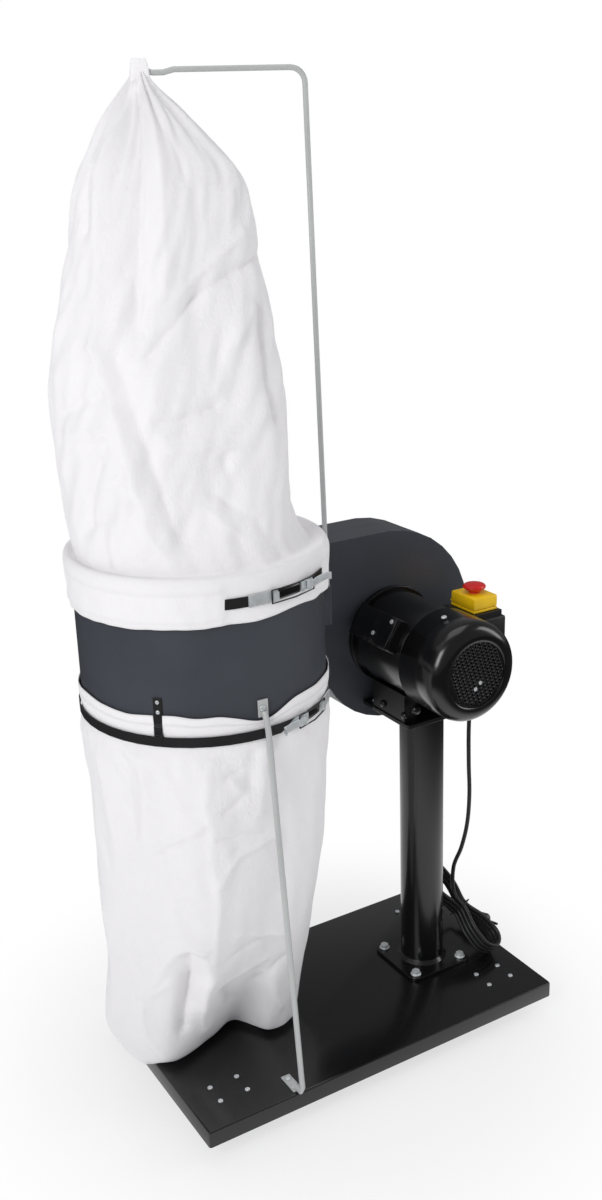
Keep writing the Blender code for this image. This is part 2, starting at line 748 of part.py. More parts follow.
def make_hex_bolt(name, place, radius, head_radius, head, washer_radius, reach, parent=None):
    """A hex bolt with its washer, standing on its seat at place, with a shank of the given reach."""
    at = {"parent": parent, "location": place}
    profile = (
        (0, WASHER_THICKNESS), (washer_radius, WASHER_THICKNESS), (washer_radius, 0),
        (radius, 0), (radius, -reach), (0, -reach),
    )
    bolt = turned(name, profile, "zinc", steps=12, closed=False, **at)
    height = head + WASHER_THICKNESS / 2
    cap = extruded(f"{name}_head", hexagon(head_radius), height, **at)
    for vert in cap.data.vertices:
        vert.co.z += WASHER_THICKNESS / 2 + height / 2
    join(bolt, cap)


def make_bracket():
    """The plate on top of the pedestal that carries the motor's feet and meets the fan housing."""
    width = BRACKET_RIGHT_X - BRACKET_LEFT_X
    back = HOUSING_FRONT_Y - GAP
    middle = (
        (BRACKET_LEFT_X + BRACKET_RIGHT_X) / 2, (BRACKET_FRONT_Y + back) / 2,
        BRACKET_TOP_Z - BRACKET_THICKNESS / 2,
    )
    outline = rounded_rectangle(width, back - BRACKET_FRONT_Y, BRACKET_CORNER, 3)
    extruded("motor_bracket", outline, BRACKET_THICKNESS, "gloss_black", location=middle)


def make_motor(axis):
    """The motor's shells, bearings, stator, rotor shaft, cooling fan and slotted cover."""
    inner = MOTOR_RADIUS - MOTOR_WALL
    flange_front = MOTOR_BACK_Y + GAP
    register = inner - GAP
    seat = BEARING_RADIUS + GAP
    frame_profile = (
        (MOTOR_RADIUS, MOTOR_BACK_Y), (MOTOR_RADIUS, MOTOR_FRONT_Y),
        (inner, MOTOR_FRONT_Y), (inner, MOTOR_BACK_Y),
    )
    frame = turned("motor_frame", frame_profile, "gloss_black", steps=36, parent=axis)
    foot_bottom = BRACKET_TOP_Z + GAP - MOTOR_Z
    for side in (-1, 1):
        middle = side * MOTOR_FOOT_SPREAD
        top = -math.sqrt(MOTOR_RADIUS ** 2 - MOTOR_FOOT_SPREAD ** 2) + MOTOR_WALL / 3
        foot = box(
            f"motor_foot_{side}", (middle - MOTOR_FOOT_WIDTH / 2, -MOTOR_FOOT_LENGTH / 2, foot_bottom),
            (middle + MOTOR_FOOT_WIDTH / 2, MOTOR_FOOT_LENGTH / 2, top), location=(MOTOR_X, 0, MOTOR_Z),
        )
        hollow = cylinder(
            f"foot_relief_{side}", MOTOR_RADIUS - MOTOR_WALL / 2, -1, 1, parent=axis, segments=36
        )
        cut(foot, hollow)
        join(frame, foot)
    flange_profile = (
        (FLANGE_RADIUS, FLANGE_BACK_Y), (FLANGE_RADIUS, flange_front), (register, flange_front),
        (register, flange_front - FLANGE_REGISTER), (seat, flange_front - FLANGE_REGISTER),
        (seat, flange_front - FLANGE_REGISTER + BEARING_WIDTH + GAP),
        (SHAFT_HOLE_RADIUS, flange_front - FLANGE_REGISTER + BEARING_WIDTH + GAP),
        (SHAFT_HOLE_RADIUS, FLANGE_BACK_Y),
    )
    turned("motor_flange", flange_profile, "gloss_black", steps=32, parent=axis)
    shield_back = MOTOR_FRONT_Y - GAP
    shield_front = shield_back - REAR_SHIELD_THICKNESS
    shield_rim = COVER_RADIUS - COVER_WALL - GAP
    shield_profile = (
        (register, shield_back + FLANGE_REGISTER), (register, shield_back), (MOTOR_RADIUS, shield_back),
        (MOTOR_RADIUS, COVER_OPEN_Y), (shield_rim, COVER_OPEN_Y), (shield_rim, shield_front),
        (SHAFT_HOLE_RADIUS, shield_front),
        (SHAFT_HOLE_RADIUS, shield_back + FLANGE_REGISTER - BEARING_WIDTH - GAP),
        (seat, shield_back + FLANGE_REGISTER - BEARING_WIDTH - GAP), (seat, shield_back + FLANGE_REGISTER),
    )
    turned("rear_shield", shield_profile, "gloss_black", steps=28, parent=axis)
    bearing_bore = SHAFT_RADIUS + GAP
    front_face = flange_front - FLANGE_REGISTER
    rear_face = shield_back + FLANGE_REGISTER
    for name, top in (("front_bearing", front_face + BEARING_WIDTH), ("rear_bearing", rear_face)):
        low = top - BEARING_WIDTH
        profile = ((BEARING_RADIUS, top), (BEARING_RADIUS, low), (bearing_bore, low), (bearing_bore, top))
        turned(name, profile, "steel", steps=16, parent=axis)
    core_middle = (front_face + rear_face) / 2
    core_back, core_front = core_middle + ROTOR_LENGTH / 2, core_middle - ROTOR_LENGTH / 2
    stator_bore = ROTOR_RADIUS + AIR_GAP
    stator_profile = (
        (register, core_back), (register, core_front), (stator_bore, core_front), (stator_bore, core_back),
    )
    turned("stator", stator_profile, "laminations", steps=24, parent=axis)
    fan_back = shield_front - COOLING_STANDOFF
    shaft_front = fan_back - COOLING_DISC - COOLING_BLADE_HEIGHT / 2
    shaft_profile = (
        (0, SHAFT_BACK_Y), (SHAFT_RADIUS, SHAFT_BACK_Y), (SHAFT_RADIUS, core_back), (ROTOR_RADIUS, core_back),
        (ROTOR_RADIUS, core_front), (SHAFT_RADIUS, core_front), (SHAFT_RADIUS, shaft_front), (0, shaft_front),
    )
    turned("rotor_shaft", shaft_profile, "steel", steps=16, closed=False, parent=axis)
    make_cooling_fan(axis, fan_back)
    make_fan_cover(axis)


def make_cooling_fan(axis, fan_back):
    """The small fan behind the motor's slotted cover."""
    front = fan_back - COOLING_DISC
    tip = front - COOLING_BLADE_HEIGHT
    bore = SHAFT_RADIUS + GAP
    profile = (
        (COOLING_FAN_RADIUS, fan_back), (COOLING_FAN_RADIUS, front), (COOLING_HUB_RADIUS, front),
        (COOLING_HUB_RADIUS, tip), (bore, tip), (bore, fan_back),
    )
    fan = turned("cooling_fan", profile, "black_plastic", steps=24, parent=axis)
    root = (bore + COOLING_HUB_RADIUS) / 2
    for number in range(COOLING_BLADES):
        blade = box(
            f"cooling_blade_{number}", (root, -COOLING_BLADE_SHEET / 2, tip + GAP),
            (COOLING_FAN_RADIUS - GAP, COOLING_BLADE_SHEET / 2, front + COOLING_DISC / 2),
            parent=axis, rotation=(0, 0, math.tau * number / COOLING_BLADES),
        )
        join(fan, blade)


def slot_outline(x):
    """One round-ended slot of the cover's grille, across the field at x."""
    half = math.sqrt(SLOT_FIELD_RADIUS ** 2 - x ** 2) - SLOT_WIDTH / 2
    top = arc((x, half), SLOT_WIDTH / 2, 0, math.pi, 3)
    return top + arc((x, -half), SLOT_WIDTH / 2, math.pi, math.tau, 3)


def make_fan_cover(axis):
    """The rounded cover over the cooling fan, with a field of parallel slots in its end."""
    inner = COVER_RADIUS - COVER_WALL
    end_y = COVER_OPEN_Y - COVER_LENGTH
    round_y = end_y + COVER_ROUND
    eye = COVER_RADIUS - COVER_ROUND - COVER_RIM
    outer_arc = arc((COVER_RADIUS - COVER_ROUND, round_y), COVER_ROUND, 0, -math.pi / 2, 5)
    inner_arc = arc((COVER_RADIUS - COVER_ROUND, round_y), COVER_ROUND - COVER_WALL, -math.pi / 2, 0, 4)
    profile = [(COVER_RADIUS, COVER_OPEN_Y), *outer_arc, (eye, end_y)]
    profile += [(eye, end_y + COVER_WALL), *inner_arc, (inner, COVER_OPEN_Y)]
    cover = turned("fan_cover", profile, "gloss_black", steps=28, parent=axis)
    rows = int(SLOT_FIELD_RADIUS / SLOT_PITCH)
    slots = [slot_outline(row * SLOT_PITCH) for row in range(-rows, rows + 1)]
    disc = arc((0, 0), eye + COVER_RIM / 2, 0, math.tau * 23 / 24, 24)
    grille = extruded(
        "cover_grille", disc, COVER_WALL / 2, parent=axis, holes=slots,
        location=(0, 0, end_y + COVER_WALL / 2),
    )
    join(cover, grille)


def make_terminal_box(axis):
    """The terminal box that follows the motor's round flank, and its screwed lid."""
    turn = empty("terminal_turn", (MOTOR_X, 0, MOTOR_Z), (0, -TERMINAL_TILT, 0), MACHINE)
    front = TERMINAL_BACK_Y - TERMINAL_LENGTH
    half = TERMINAL_WIDTH / 2
    case = box(
        "terminal_box", (-half, front, MOTOR_RADIUS / 2), (half, TERMINAL_BACK_Y, TERMINAL_TOP),
        "gloss_black", edge=TERMINAL_EDGE, parent=turn,
    )
    seat = cylinder("terminal_seat", MOTOR_RADIUS + GAP, -1, 1, parent=axis, segments=48)
    cut(case, seat)
    box(
        "terminal_lid", (-half, front, TERMINAL_TOP + GAP),
        (half, front + LID_LENGTH, TERMINAL_TOP + GAP + LID_THICKNESS),
        "gloss_black", edge=LID_THICKNESS / 3, parent=turn,
    )


def scroll_outline():
    """The fan housing's outline in (x, z): a spiral scroll and the straight duct to the ring."""
    outline = []
    for k in range(SCROLL_POINTS):
        share = k / (SCROLL_POINTS - 1)
        angle = SCROLL_START_ANGLE + (SCROLL_END_ANGLE - SCROLL_START_ANGLE) * share
        radius = SCROLL_START_RADIUS + (SCROLL_END_RADIUS - SCROLL_START_RADIUS) * share
        outline.append((MOTOR_X + radius * math.cos(angle), MOTOR_Z + radius * math.sin(angle)))
    return outline + [(RING_X, DUCT_TOP_Z), (RING_X, DUCT_BOTTOM_Z)]


def housing_half(name, closed_y, open_y, hole_radius):
    """One pressed half of the fan housing: an end plate with half of the rim, cut to the ring."""
    shape = bmesh.new()
    verts = [shape.verts.new((x, closed_y, z)) for x, z in scroll_outline()]
    plate = shape.faces.new(verts)
    mouth = shape.edges.get((verts[-2], verts[-1]))
    rim = [e for e in plate.edges if e is not mouth]
    pulled = bmesh.ops.extrude_edge_only(shape, edges=rim)["geom"]
    moved = [v for v in pulled if isinstance(v, bmesh.types.BMVert)]
    bmesh.ops.translate(shape, verts=moved, vec=(0, open_y - closed_y, 0))
    bmesh.ops.recalc_face_normals(shape, faces=shape.faces)
    outward = 1 if closed_y > open_y else -1
    shape.normal_update()
    if plate.normal.y * outward < 0:
        bmesh.ops.reverse_faces(shape, faces=shape.faces)
    data = bpy.data.meshes.new(name)
    shape.to_mesh(data)
    shape.free()
    half = add_object(name, data, "anthracite")
    wall = half.modifiers.new("wall", "SOLIDIFY")
    wall.thickness = HOUSING_WALL
    wall.offset = -1
    wall.use_even_offset = True
    ring = cylinder(
        f"{name}_ring_cut", RING_RADIUS + GAP, 0, 2 * RING_TOP_Z, location=(RING_X, 0, 0), segments=96
    )
    hole = cylinder(
        f"{name}_hole", hole_radius, -1, 1, segments=36, location=(MOTOR_X, closed_y, MOTOR_Z),
        rotation=(math.radians(-90), 0, 0),
    )
    for vert in hole.data.vertices:
        vert.co.z *= 2 * HOUSING_WALL
    cut(half, ring, hole)


def make_inlet(axis):
    """The hose spigot on the housing's back plate."""
    seat = HOUSING_BACK_Y + GAP
    end = seat + INLET_LENGTH
    inner = INLET_RADIUS - INLET_WALL
    profile = (
        (INLET_RADIUS, end), (INLET_RADIUS + INLET_BEAD, end - 2 * INLET_BEAD),
        (INLET_RADIUS, end - 4 * INLET_BEAD), (INLET_RADIUS, seat + INLET_FLANGE),
        (INLET_FLANGE_RADIUS, seat + INLET_FLANGE), (INLET_FLANGE_RADIUS, seat), (inner, seat), (inner, end),
    )
    turned("inlet_spigot", profile, "anthracite", steps=32, parent=axis)


def make_impeller(axis):
    """The fan wheel: disc, hub and swept blades, and the bolt that holds it on the shaft."""
    front = HOUSING_FRONT_Y + HOUSING_WALL + IMPELLER_STANDOFF
    back = front + IMPELLER_DISC
    hub_end = front + IMPELLER_HUB_LENGTH - GAP
    bore = SHAFT_RADIUS + GAP
    profile = (
        (IMPELLER_HUB_RADIUS, hub_end), (IMPELLER_HUB_RADIUS, back), (IMPELLER_RADIUS, back),
        (IMPELLER_RADIUS, front), (bore, front), (bore, hub_end),
    )
    impeller = turned("impeller", profile, "steel", steps=32, parent=axis)
    tip = IMPELLER_RADIUS - 2 * GAP
    outer_side, inner_side = [], []
    for k in range(IMPELLER_BLADE_POINTS):
        share = k / (IMPELLER_BLADE_POINTS - 1)
        radius = IMPELLER_BLADE_ROOT + (tip - IMPELLER_BLADE_ROOT) * share
        angle = IMPELLER_BLADE_SWEEP * share
        half = IMPELLER_BLADE_SHEET / 2 / radius
        outer_side.append((radius * math.cos(angle + half), radius * math.sin(angle + half)))
        inner_side.append((radius * math.cos(angle - half), radius * math.sin(angle - half)))
    outline = inner_side + outer_side[::-1]
    height = IMPELLER_BLADE_HEIGHT + IMPELLER_DISC / 2
    for number in range(IMPELLER_BLADES):
        blade = extruded(
            f"impeller_blade_{number}", outline, height, parent=axis,
            rotation=(0, 0, math.tau * number / IMPELLER_BLADES),
            location=(0, 0, back - IMPELLER_DISC / 2 + height / 2),
        )
        join(impeller, blade)
    make_hex_bolt(
        "impeller_bolt", (0, 0, SHAFT_BACK_Y + GAP), SHAFT_RADIUS / 2, IMPELLER_BOLT_HEAD,
        IMPELLER_BOLT_HEIGHT, IMPELLER_BOLT_WASHER, 0.0, parent=axis,
    )


def make_ring():
    """The collector ring, open above and below, with the duct's mouth in its side."""
    inner = RING_RADIUS - RING_WALL
    profile = (
        (RING_RADIUS, RING_TOP_Z), (RING_RADIUS, RING_BOTTOM_Z), (inner, RING_BOTTOM_Z), (inner, RING_TOP_Z),
    )
    ring = turned("collector_ring", profile, "anthracite", steps=RING_STEPS, location=(RING_X, 0, 0))
    mouth = box(
        "duct_mouth", (RING_X, HOUSING_FRONT_Y + HOUSING_WALL, DUCT_BOTTOM_Z + HOUSING_WALL),
        (MOTOR_X, HOUSING_BACK_Y - HOUSING_WALL, DUCT_TOP_Z - HOUSING_WALL),
    )
    cut(ring, mouth)


def make_band(name, height, open_from, open_to):
    """A steel band round a hem, open between two angles where its latch bridges it."""
    around = open_from + math.tau - open_to
    corner = 1 / math.cos(around / (BAND_STEPS - 1) / 2)
    outline = arc((0, 0), BAND_OUTER_RADIUS * corner, open_to, open_to + around, BAND_STEPS)
    outline += arc((0, 0), BAND_INNER_RADIUS * corner, open_to + around, open_to, BAND_STEPS)
    return extruded(name, outline, BAND_WIDTH, "black_plastic", location=(RING_X, 0, height))


def make_latch(prefix, height, rack_angle, base_angle):
    """A band with its toggle latch: toothed rack and pivot base welded on, lever and wire bail.

    The lever points away from the rack.
    """
    away = 1 if base_angle > rack_angle else -1
    ends = sorted((rack_angle, base_angle))
    band = make_band(f"{prefix}_band", height, ends[0] + BAND_END_LAP, ends[1] - BAND_END_LAP)
    seat = BAND_OUTER_RADIUS - BAND_THICKNESS / 2
    rack_turn = empty(f"{prefix}_rack_turn", (RING_X, 0, height), (0, 0, rack_angle), MACHINE)
    base_turn = empty(f"{prefix}_base_turn", (RING_X, 0, height), (0, 0, base_angle), MACHINE)
    plate_x = seat + RACK_SHEET / 2
    low, high = -RACK_HEIGHT / 2, RACK_HEIGHT / 2
    pitch = RACK_LENGTH / (2 * RACK_TEETH)
    outline = [(RACK_LENGTH / 2, high), (-RACK_LENGTH / 2, high)]
    for tooth in range(RACK_TEETH):
        start = -RACK_LENGTH / 2 + 2 * tooth * pitch
        outline += [(start, low), (start + pitch, low)]
        outline += [(start + pitch, low + RACK_TOOTH), (start + 2 * pitch, low + RACK_TOOTH)]
    rack = extruded(
        f"{prefix}_rack", outline, RACK_SHEET, plane="YZ", parent=rack_turn, location=(plate_x, 0, 0)
    )
    catch_near = away * (RACK_LENGTH / 2 - CATCH_LENGTH)
    catch_far = away * RACK_LENGTH / 2
    catch = box(
        f"{prefix}_catch", (seat + RACK_SHEET / 2, min(catch_near, catch_far) + GAP, -CATCH_HEIGHT / 2),
        (seat + RACK_SHEET + CATCH_PROUD, max(catch_near, catch_far) - GAP, CATCH_HEIGHT / 2),
        parent=rack_turn,
    )
    join(band, rack, catch, solver="MANIFOLD")
    pivot_x = seat + PIVOT_STANDOFF
    lug_low = LEVER_HEIGHT / 2 + GAP
    lug_high = lug_low + LUG_THICKNESS
    base = box(
        f"{prefix}_latch_base", (seat, -BASE_LENGTH / 2, -lug_high),
        (seat + BASE_SHEET, BASE_LENGTH / 2, lug_high), parent=base_turn,
    )
    join(band, base, solver="MANIFOLD")
    lug_reach = pivot_x + PIVOT_RADIUS + LUG_THICKNESS
    for side in (-1, 1):
        low_end, high_end = sorted((side * lug_low, side * lug_high))
        lug = box(
            f"{prefix}_lug_{side}", (seat + BASE_SHEET / 2, -LEVER_EYE_RADIUS, low_end),
            (lug_reach, LEVER_EYE_RADIUS, high_end), parent=base_turn,
        )
        join(band, lug, solver="MANIFOLD")
    pin = cylinder(
        f"{prefix}_pivot_pin", PIVOT_RADIUS, -lug_high + GAP, lug_high - GAP, parent=base_turn,
        location=(pivot_x, 0, 0), segments=12,
    )
    join(band, pin, solver="MANIFOLD")
    pivot = empty(f"{prefix}_latch_pivot", (pivot_x, 0, 0), (0, 0, 0), base_turn)
    make_lever(prefix, pivot, away)
    wire = GAP + BAIL_WIRE_RADIUS
    bail_end = ring_point(rack_angle, seat + RACK_SHEET + wire, catch_near - away * wire)
    make_bail(prefix, pivot, ring_point(base_angle, pivot_x), base_angle, bail_end, away)


def make_lever(prefix, pivot, away):
    """The lever: an eye on the pivot, a hole for the bail, and a handle with an upturned end."""
    half = LEVER_SHEET / 2
    handle_end = away * LEVER_LENGTH
    outline = [
        (-half, 0), (-half, handle_end), (half * 5, handle_end + away * half * 4),
        (half * 6.5, handle_end + away * half * 2), (half, handle_end - away * half * 2), (half, 0),
    ]
    if away < 0:
        outline = outline[::-1]
    lever = extruded(f"{prefix}_lever", outline, LEVER_HEIGHT, "zinc", parent=pivot)
    for name, along in (("eye", 0.0), ("bail_boss", away * BAIL_ARM)):
        boss = cylinder(
            f"{prefix}_{name}", LEVER_EYE_RADIUS, -LEVER_HEIGHT / 2, LEVER_HEIGHT / 2, parent=pivot,
            location=(0, along, 0), segments=10,
        )
        join(lever, boss)
    bores = (("eye_bore", 0.0, PIVOT_RADIUS), ("bail_bore", away * BAIL_ARM, BAIL_WIRE_RADIUS))
    for name, along, radius in bores:
        bore = cylinder(
            f"{prefix}_{name}", radius + GAP, -LEVER_HEIGHT, LEVER_HEIGHT, parent=pivot,
            location=(0, along, 0), segments=10,
        )
        cut(lever, bore)


def make_bail(prefix, pivot, pivot_at, base_angle, bail_end, away):
    """The wire bail from the lever's hole to the catch on the rack."""
    hinge = empty(f"{prefix}_bail_hinge", (0, away * BAIL_ARM, 0), (0, 0, 0), pivot)
    offset = bail_end - pivot_at
    out = Vector((math.cos(base_angle), math.sin(base_angle)))
    tangent = Vector((-out.y, out.x))
    far = Vector((offset.dot(out), offset.dot(tangent) - away * BAIL_ARM))
    bow = Vector((abs(far.y), math.copysign(far.x, -far.x * far.y))).normalized() * BAIL_BOW
    high = [(0, 0, BAIL_HALF_HEIGHT), (*(far / 2 + bow), BAIL_HALF_HEIGHT), (*far, BAIL_HALF_HEIGHT)]
    corners = high + [(x, y, -z) for x, y, z in reversed(high)]
    tube(f"{prefix}_bail", corners, BAIL_WIRE_RADIUS, "black_plastic", 2, True, parent=hinge)


def make_hook():
    """A joggled strip screwed to the ring, whose lip holds the lower band up."""
    turn = empty("hook_turn", (RING_X, 0, 0), (0, 0, HOOK_ANGLE), MACHINE)
    near = RING_RADIUS + GAP
    proud = HEM_RADIUS + GAP
    lip = LOWER_BAND_Z + BAND_WIDTH / 2 + GAP
    joggle = COLLECTION_HEM_Z + GAP
    step = HOOK_SHEET
    outline = [
        (near, HOOK_TOP_Z), (near, joggle + 2 * step), (proud, joggle + step), (proud, lip),
        (proud + HOOK_LIP, lip), (proud + HOOK_LIP, lip + step), (proud + step, lip + step),
        (proud + step, joggle + step), (near + step, joggle + 3 * step), (near + step, HOOK_TOP_Z),
    ]
    extruded("band_hook", outline, HOOK_WIDTH, "black_plastic", plane="XZ", parent=turn)


def make_strut():
    """The bent rod from the ring's lower front to a flattened foot on the tray."""
    turn = empty("strut_turn", (RING_X, 0, 0), (0, 0, STRUT_ANGLE), MACHINE)
    near = RING_RADIUS + GAP
    low = STRUT_TAB_TOP_Z - STRUT_TAB_HEIGHT
    out = ring_point(STRUT_ANGLE, near + STRUT_RADIUS + GAP)
    top = Vector((RING_X + out.x, out.y, low + STRUT_TAB_HEIGHT / 3))
    clear = ring_point(STRUT_ANGLE, near + STRUT_STANDOFF)
    jog = Vector((RING_X + clear.x, clear.y, low - STRUT_TAB_HEIGHT / 3))
    toe = Vector((STRUT_FOOT_X, STRUT_FOOT_Y, GAP + STRUT_RADIUS))
    heel = Vector((STRUT_FOOT_X, STRUT_FOOT_Y + STRUT_FOOT_LENGTH / 2, GAP + STRUT_RADIUS))
    bend = STRUT_RADIUS * 3
    route = [top, top.lerp(jog, 0.75)]
    route += [jog + (toe - jog).normalized() * bend, toe + (jog - toe).normalized() * bend]
    route += [toe.lerp(heel, 0.25) + Vector((0, 0, STRUT_RADIUS / 4)), heel]
    strut = as_mesh(tube("ring_strut", route, STRUT_RADIUS, "pale_grey", 3))
    half = STRUT_TAB_WIDTH / 2
    tab = box(
        "strut_tab", (near, -half, low), (near + STRUT_TAB_SHEET, half, STRUT_TAB_TOP_Z), parent=turn,
        edge=STRUT_TAB_SHEET / 3,
    )
    foot_half = STRUT_FOOT_WIDTH / 2
    foot = box(
        "strut_foot", (STRUT_FOOT_X - foot_half, STRUT_FOOT_Y + STRUT_FOOT_WIDTH, GAP),
        (STRUT_FOOT_X + foot_half, STRUT_FOOT_Y + STRUT_FOOT_LENGTH, GAP + STRUT_TAB_SHEET),
        edge=STRUT_TAB_SHEET / 3,
    )
    join(strut, tab, foot)


def make_hanger():
    """The rod that carries the filter bag, and the socket on the ring that holds its foot."""
    reach = RING_RADIUS + HANGER_STANDOFF
    at = ring_point(HANGER_ANGLE, reach)
    lean = ring_point(HANGER_ANGLE, reach - HANGER_LEAN)
    tip = Vector((HANGER_TIP_X, HANGER_TIP_Y, HANGER_ARM_Z))
    foot = Vector((RING_X + at.x, at.y, HANGER_FOOT_Z))
    socket_top = foot + Vector((0, 0, SOCKET_LENGTH + GAP))
    high = Vector((RING_X + lean.x, lean.y, HANGER_BEND_Z))
    corner = Vector((high.x, high.y, HANGER_ARM_Z))
    arm = (tip - corner).normalized()
    radius = HANGER_ARM_Z - HANGER_BEND_Z
    bend = []
    for k in range(1, HANGER_BEND_STEPS):
        turn = math.pi / 2 * k / HANGER_BEND_STEPS
        bend.append(high + arm * radius * (1 - math.cos(turn)) + Vector((0, 0, radius * math.sin(turn))))
    dip = Vector((0, 0, HANGER_DIP))
    end = [corner + arm * radius, tip - arm * 6 * HANGER_DIP, tip - arm * 4 * HANGER_DIP - dip / 2]
    end += [tip - arm * 2 * HANGER_DIP - dip / 2, tip, tip + arm * HANGER_DIP + dip]
    tube("hanger_rod", [foot, socket_top, high, *bend, *end], HANGER_RADIUS, "pale_grey", 2)
    bore = HANGER_RADIUS + GAP
    outer = bore + SOCKET_WALL
    bottom = HANGER_FOOT_Z - GAP - SOCKET_WALL
    turn = empty("socket_turn", (RING_X, 0, 0), (0, 0, HANGER_ANGLE), MACHINE)
    profile = ((0, SOCKET_LENGTH + SOCKET_WALL), (outer, SOCKET_LENGTH + SOCKET_WALL), (outer, 0), (0, 0))
    socket = turned(
        "rod_socket", profile, "anthracite", steps=16, closed=False, parent=turn, location=(reach, 0, bottom)
    )
    web = box(
        "socket_web", (RING_RADIUS + GAP, -outer, bottom + GAP), (reach, outer, bottom + SOCKET_LENGTH),
        parent=turn,
    )
    hole = cylinder(
        "socket_bore", bore, bottom + SOCKET_WALL, 2 * RING_TOP_Z, parent=turn,
        location=(reach, 0, 0), segments=16,
    )
    cut(join(socket, web), hole)


def fold_depth(folds, turn, height):
    """How far the slack folds push the cloth outwards at one angle and height, mostly less than nothing."""
    return sum(
        depth * (math.cos(count * turn + phase + drift * height) - FOLD_SINK)
        for count, phase, drift, depth in folds
    )


def seam_wander(along):
    """How far the bottom seam strays across the tray at one length along it."""
    for (near, low), (far, high) in zip(SEAM_LINE, SEAM_LINE[1:]):
        if near <= along <= far:
            return low + (high - low) * (along - near) / (far - near)
    return SEAM_LINE[0][1] if along < SEAM_LINE[0][0] else SEAM_LINE[-1][1]


def bag_point(ring, folds, start, turn):
    """A point of a bag's ring, pushed out by the folds and across by the bottom seam."""
    height, shift, wide, deep = ring
    lean = Vector((HANGER_TIP_X - RING_X, HANGER_TIP_Y)).normalized() * shift
    beyond = (height - start) * (RING_TOP_Z - start) < 0
    fade = min(abs(height - start) / FOLD_FADE, 1) if beyond else 0
    push = fold_depth(folds, turn, height) * fade * min(wide, deep) / RING_RADIUS
    x = lean.x + (wide + push) * math.cos(turn)
    y = lean.y + (deep + push) * math.sin(turn)
    slack = max(1 - height / SEAM_REACH_Z, 0) ** 2
    return Vector((x, y + (seam_wander(RING_X + x) - lean.y) * slack, height))


def make_bag(name, rings, cap_height, folds, start):
    """A cloth shell lofted through (height, shift, half width, half depth) rings, closed at its far end."""
    shape = bmesh.new()
    loops = []
    for ring in rings:
        turns = [math.tau * k / BAG_STEPS for k in range(BAG_STEPS)]
        loops.append([shape.verts.new(bag_point(ring, folds, start, turn)) for turn in turns])
    for low, high in zip(loops, loops[1:]):
        for k in range(BAG_STEPS):
            shape.faces.new((low[k], low[k - 1], high[k - 1], high[k]))
    centre = sum((v.co for v in loops[-1]), Vector()) / BAG_STEPS
    pole = shape.verts.new((centre.x, centre.y, cap_height))
    for k in range(BAG_STEPS):
        shape.faces.new((loops[-1][k], loops[-1][k - 1], pole))
    bag = add_object(name, mesh_of(name, shape), "white_cotton", location=(RING_X, 0, 0))
    probe = bag.data.polygons[0]
    if probe.normal.dot(probe.center) < 0:
        bag.data.flip_normals()
    cloth = bag.modifiers.new("cloth", "SOLIDIFY")
    cloth.thickness = BAG_CLOTH
    cloth.offset = -1
    return bag


def make_bags():
    """The filter bag above the ring and the collection bag below it."""
    crest = HEM_RADIUS + FILTER_ROLL / 2
    hem = [
        (FILTER_HEM_Z, 0, HEM_RADIUS, HEM_RADIUS), (RING_TOP_Z + GAP, 0, HEM_RADIUS, HEM_RADIUS),
        (RING_TOP_Z + FILTER_ROLL, 0, crest, crest),
        (RING_TOP_Z + 2 * FILTER_ROLL, 0, HEM_RADIUS, HEM_RADIUS),
    ]
    top = FILTER_STATIONS[-1][0] + 2 * BAG_CLOTH
    make_bag("filter_bag", hem + body_rings(FILTER_STATIONS), top, FILTER_FOLDS, FILTER_FOLD_START_Z)
    sleeve = [(COLLECTION_HEM_Z, 0, HEM_RADIUS, HEM_RADIUS), (RING_BOTTOM_Z - GAP, 0, HEM_RADIUS, HEM_RADIUS)]
    rings = sleeve + body_rings(COLLECTION_STATIONS)
    make_bag("collection_bag", rings, GAP, COLLECTION_FOLDS, COLLECTION_FOLD_START_Z)


def body_rings(stations):
    """A bag's stations with their shares turned into lengths."""
    return [(height, shift, wide * RING_RADIUS, deep * RING_RADIUS) for height, shift, wide, deep in stations]


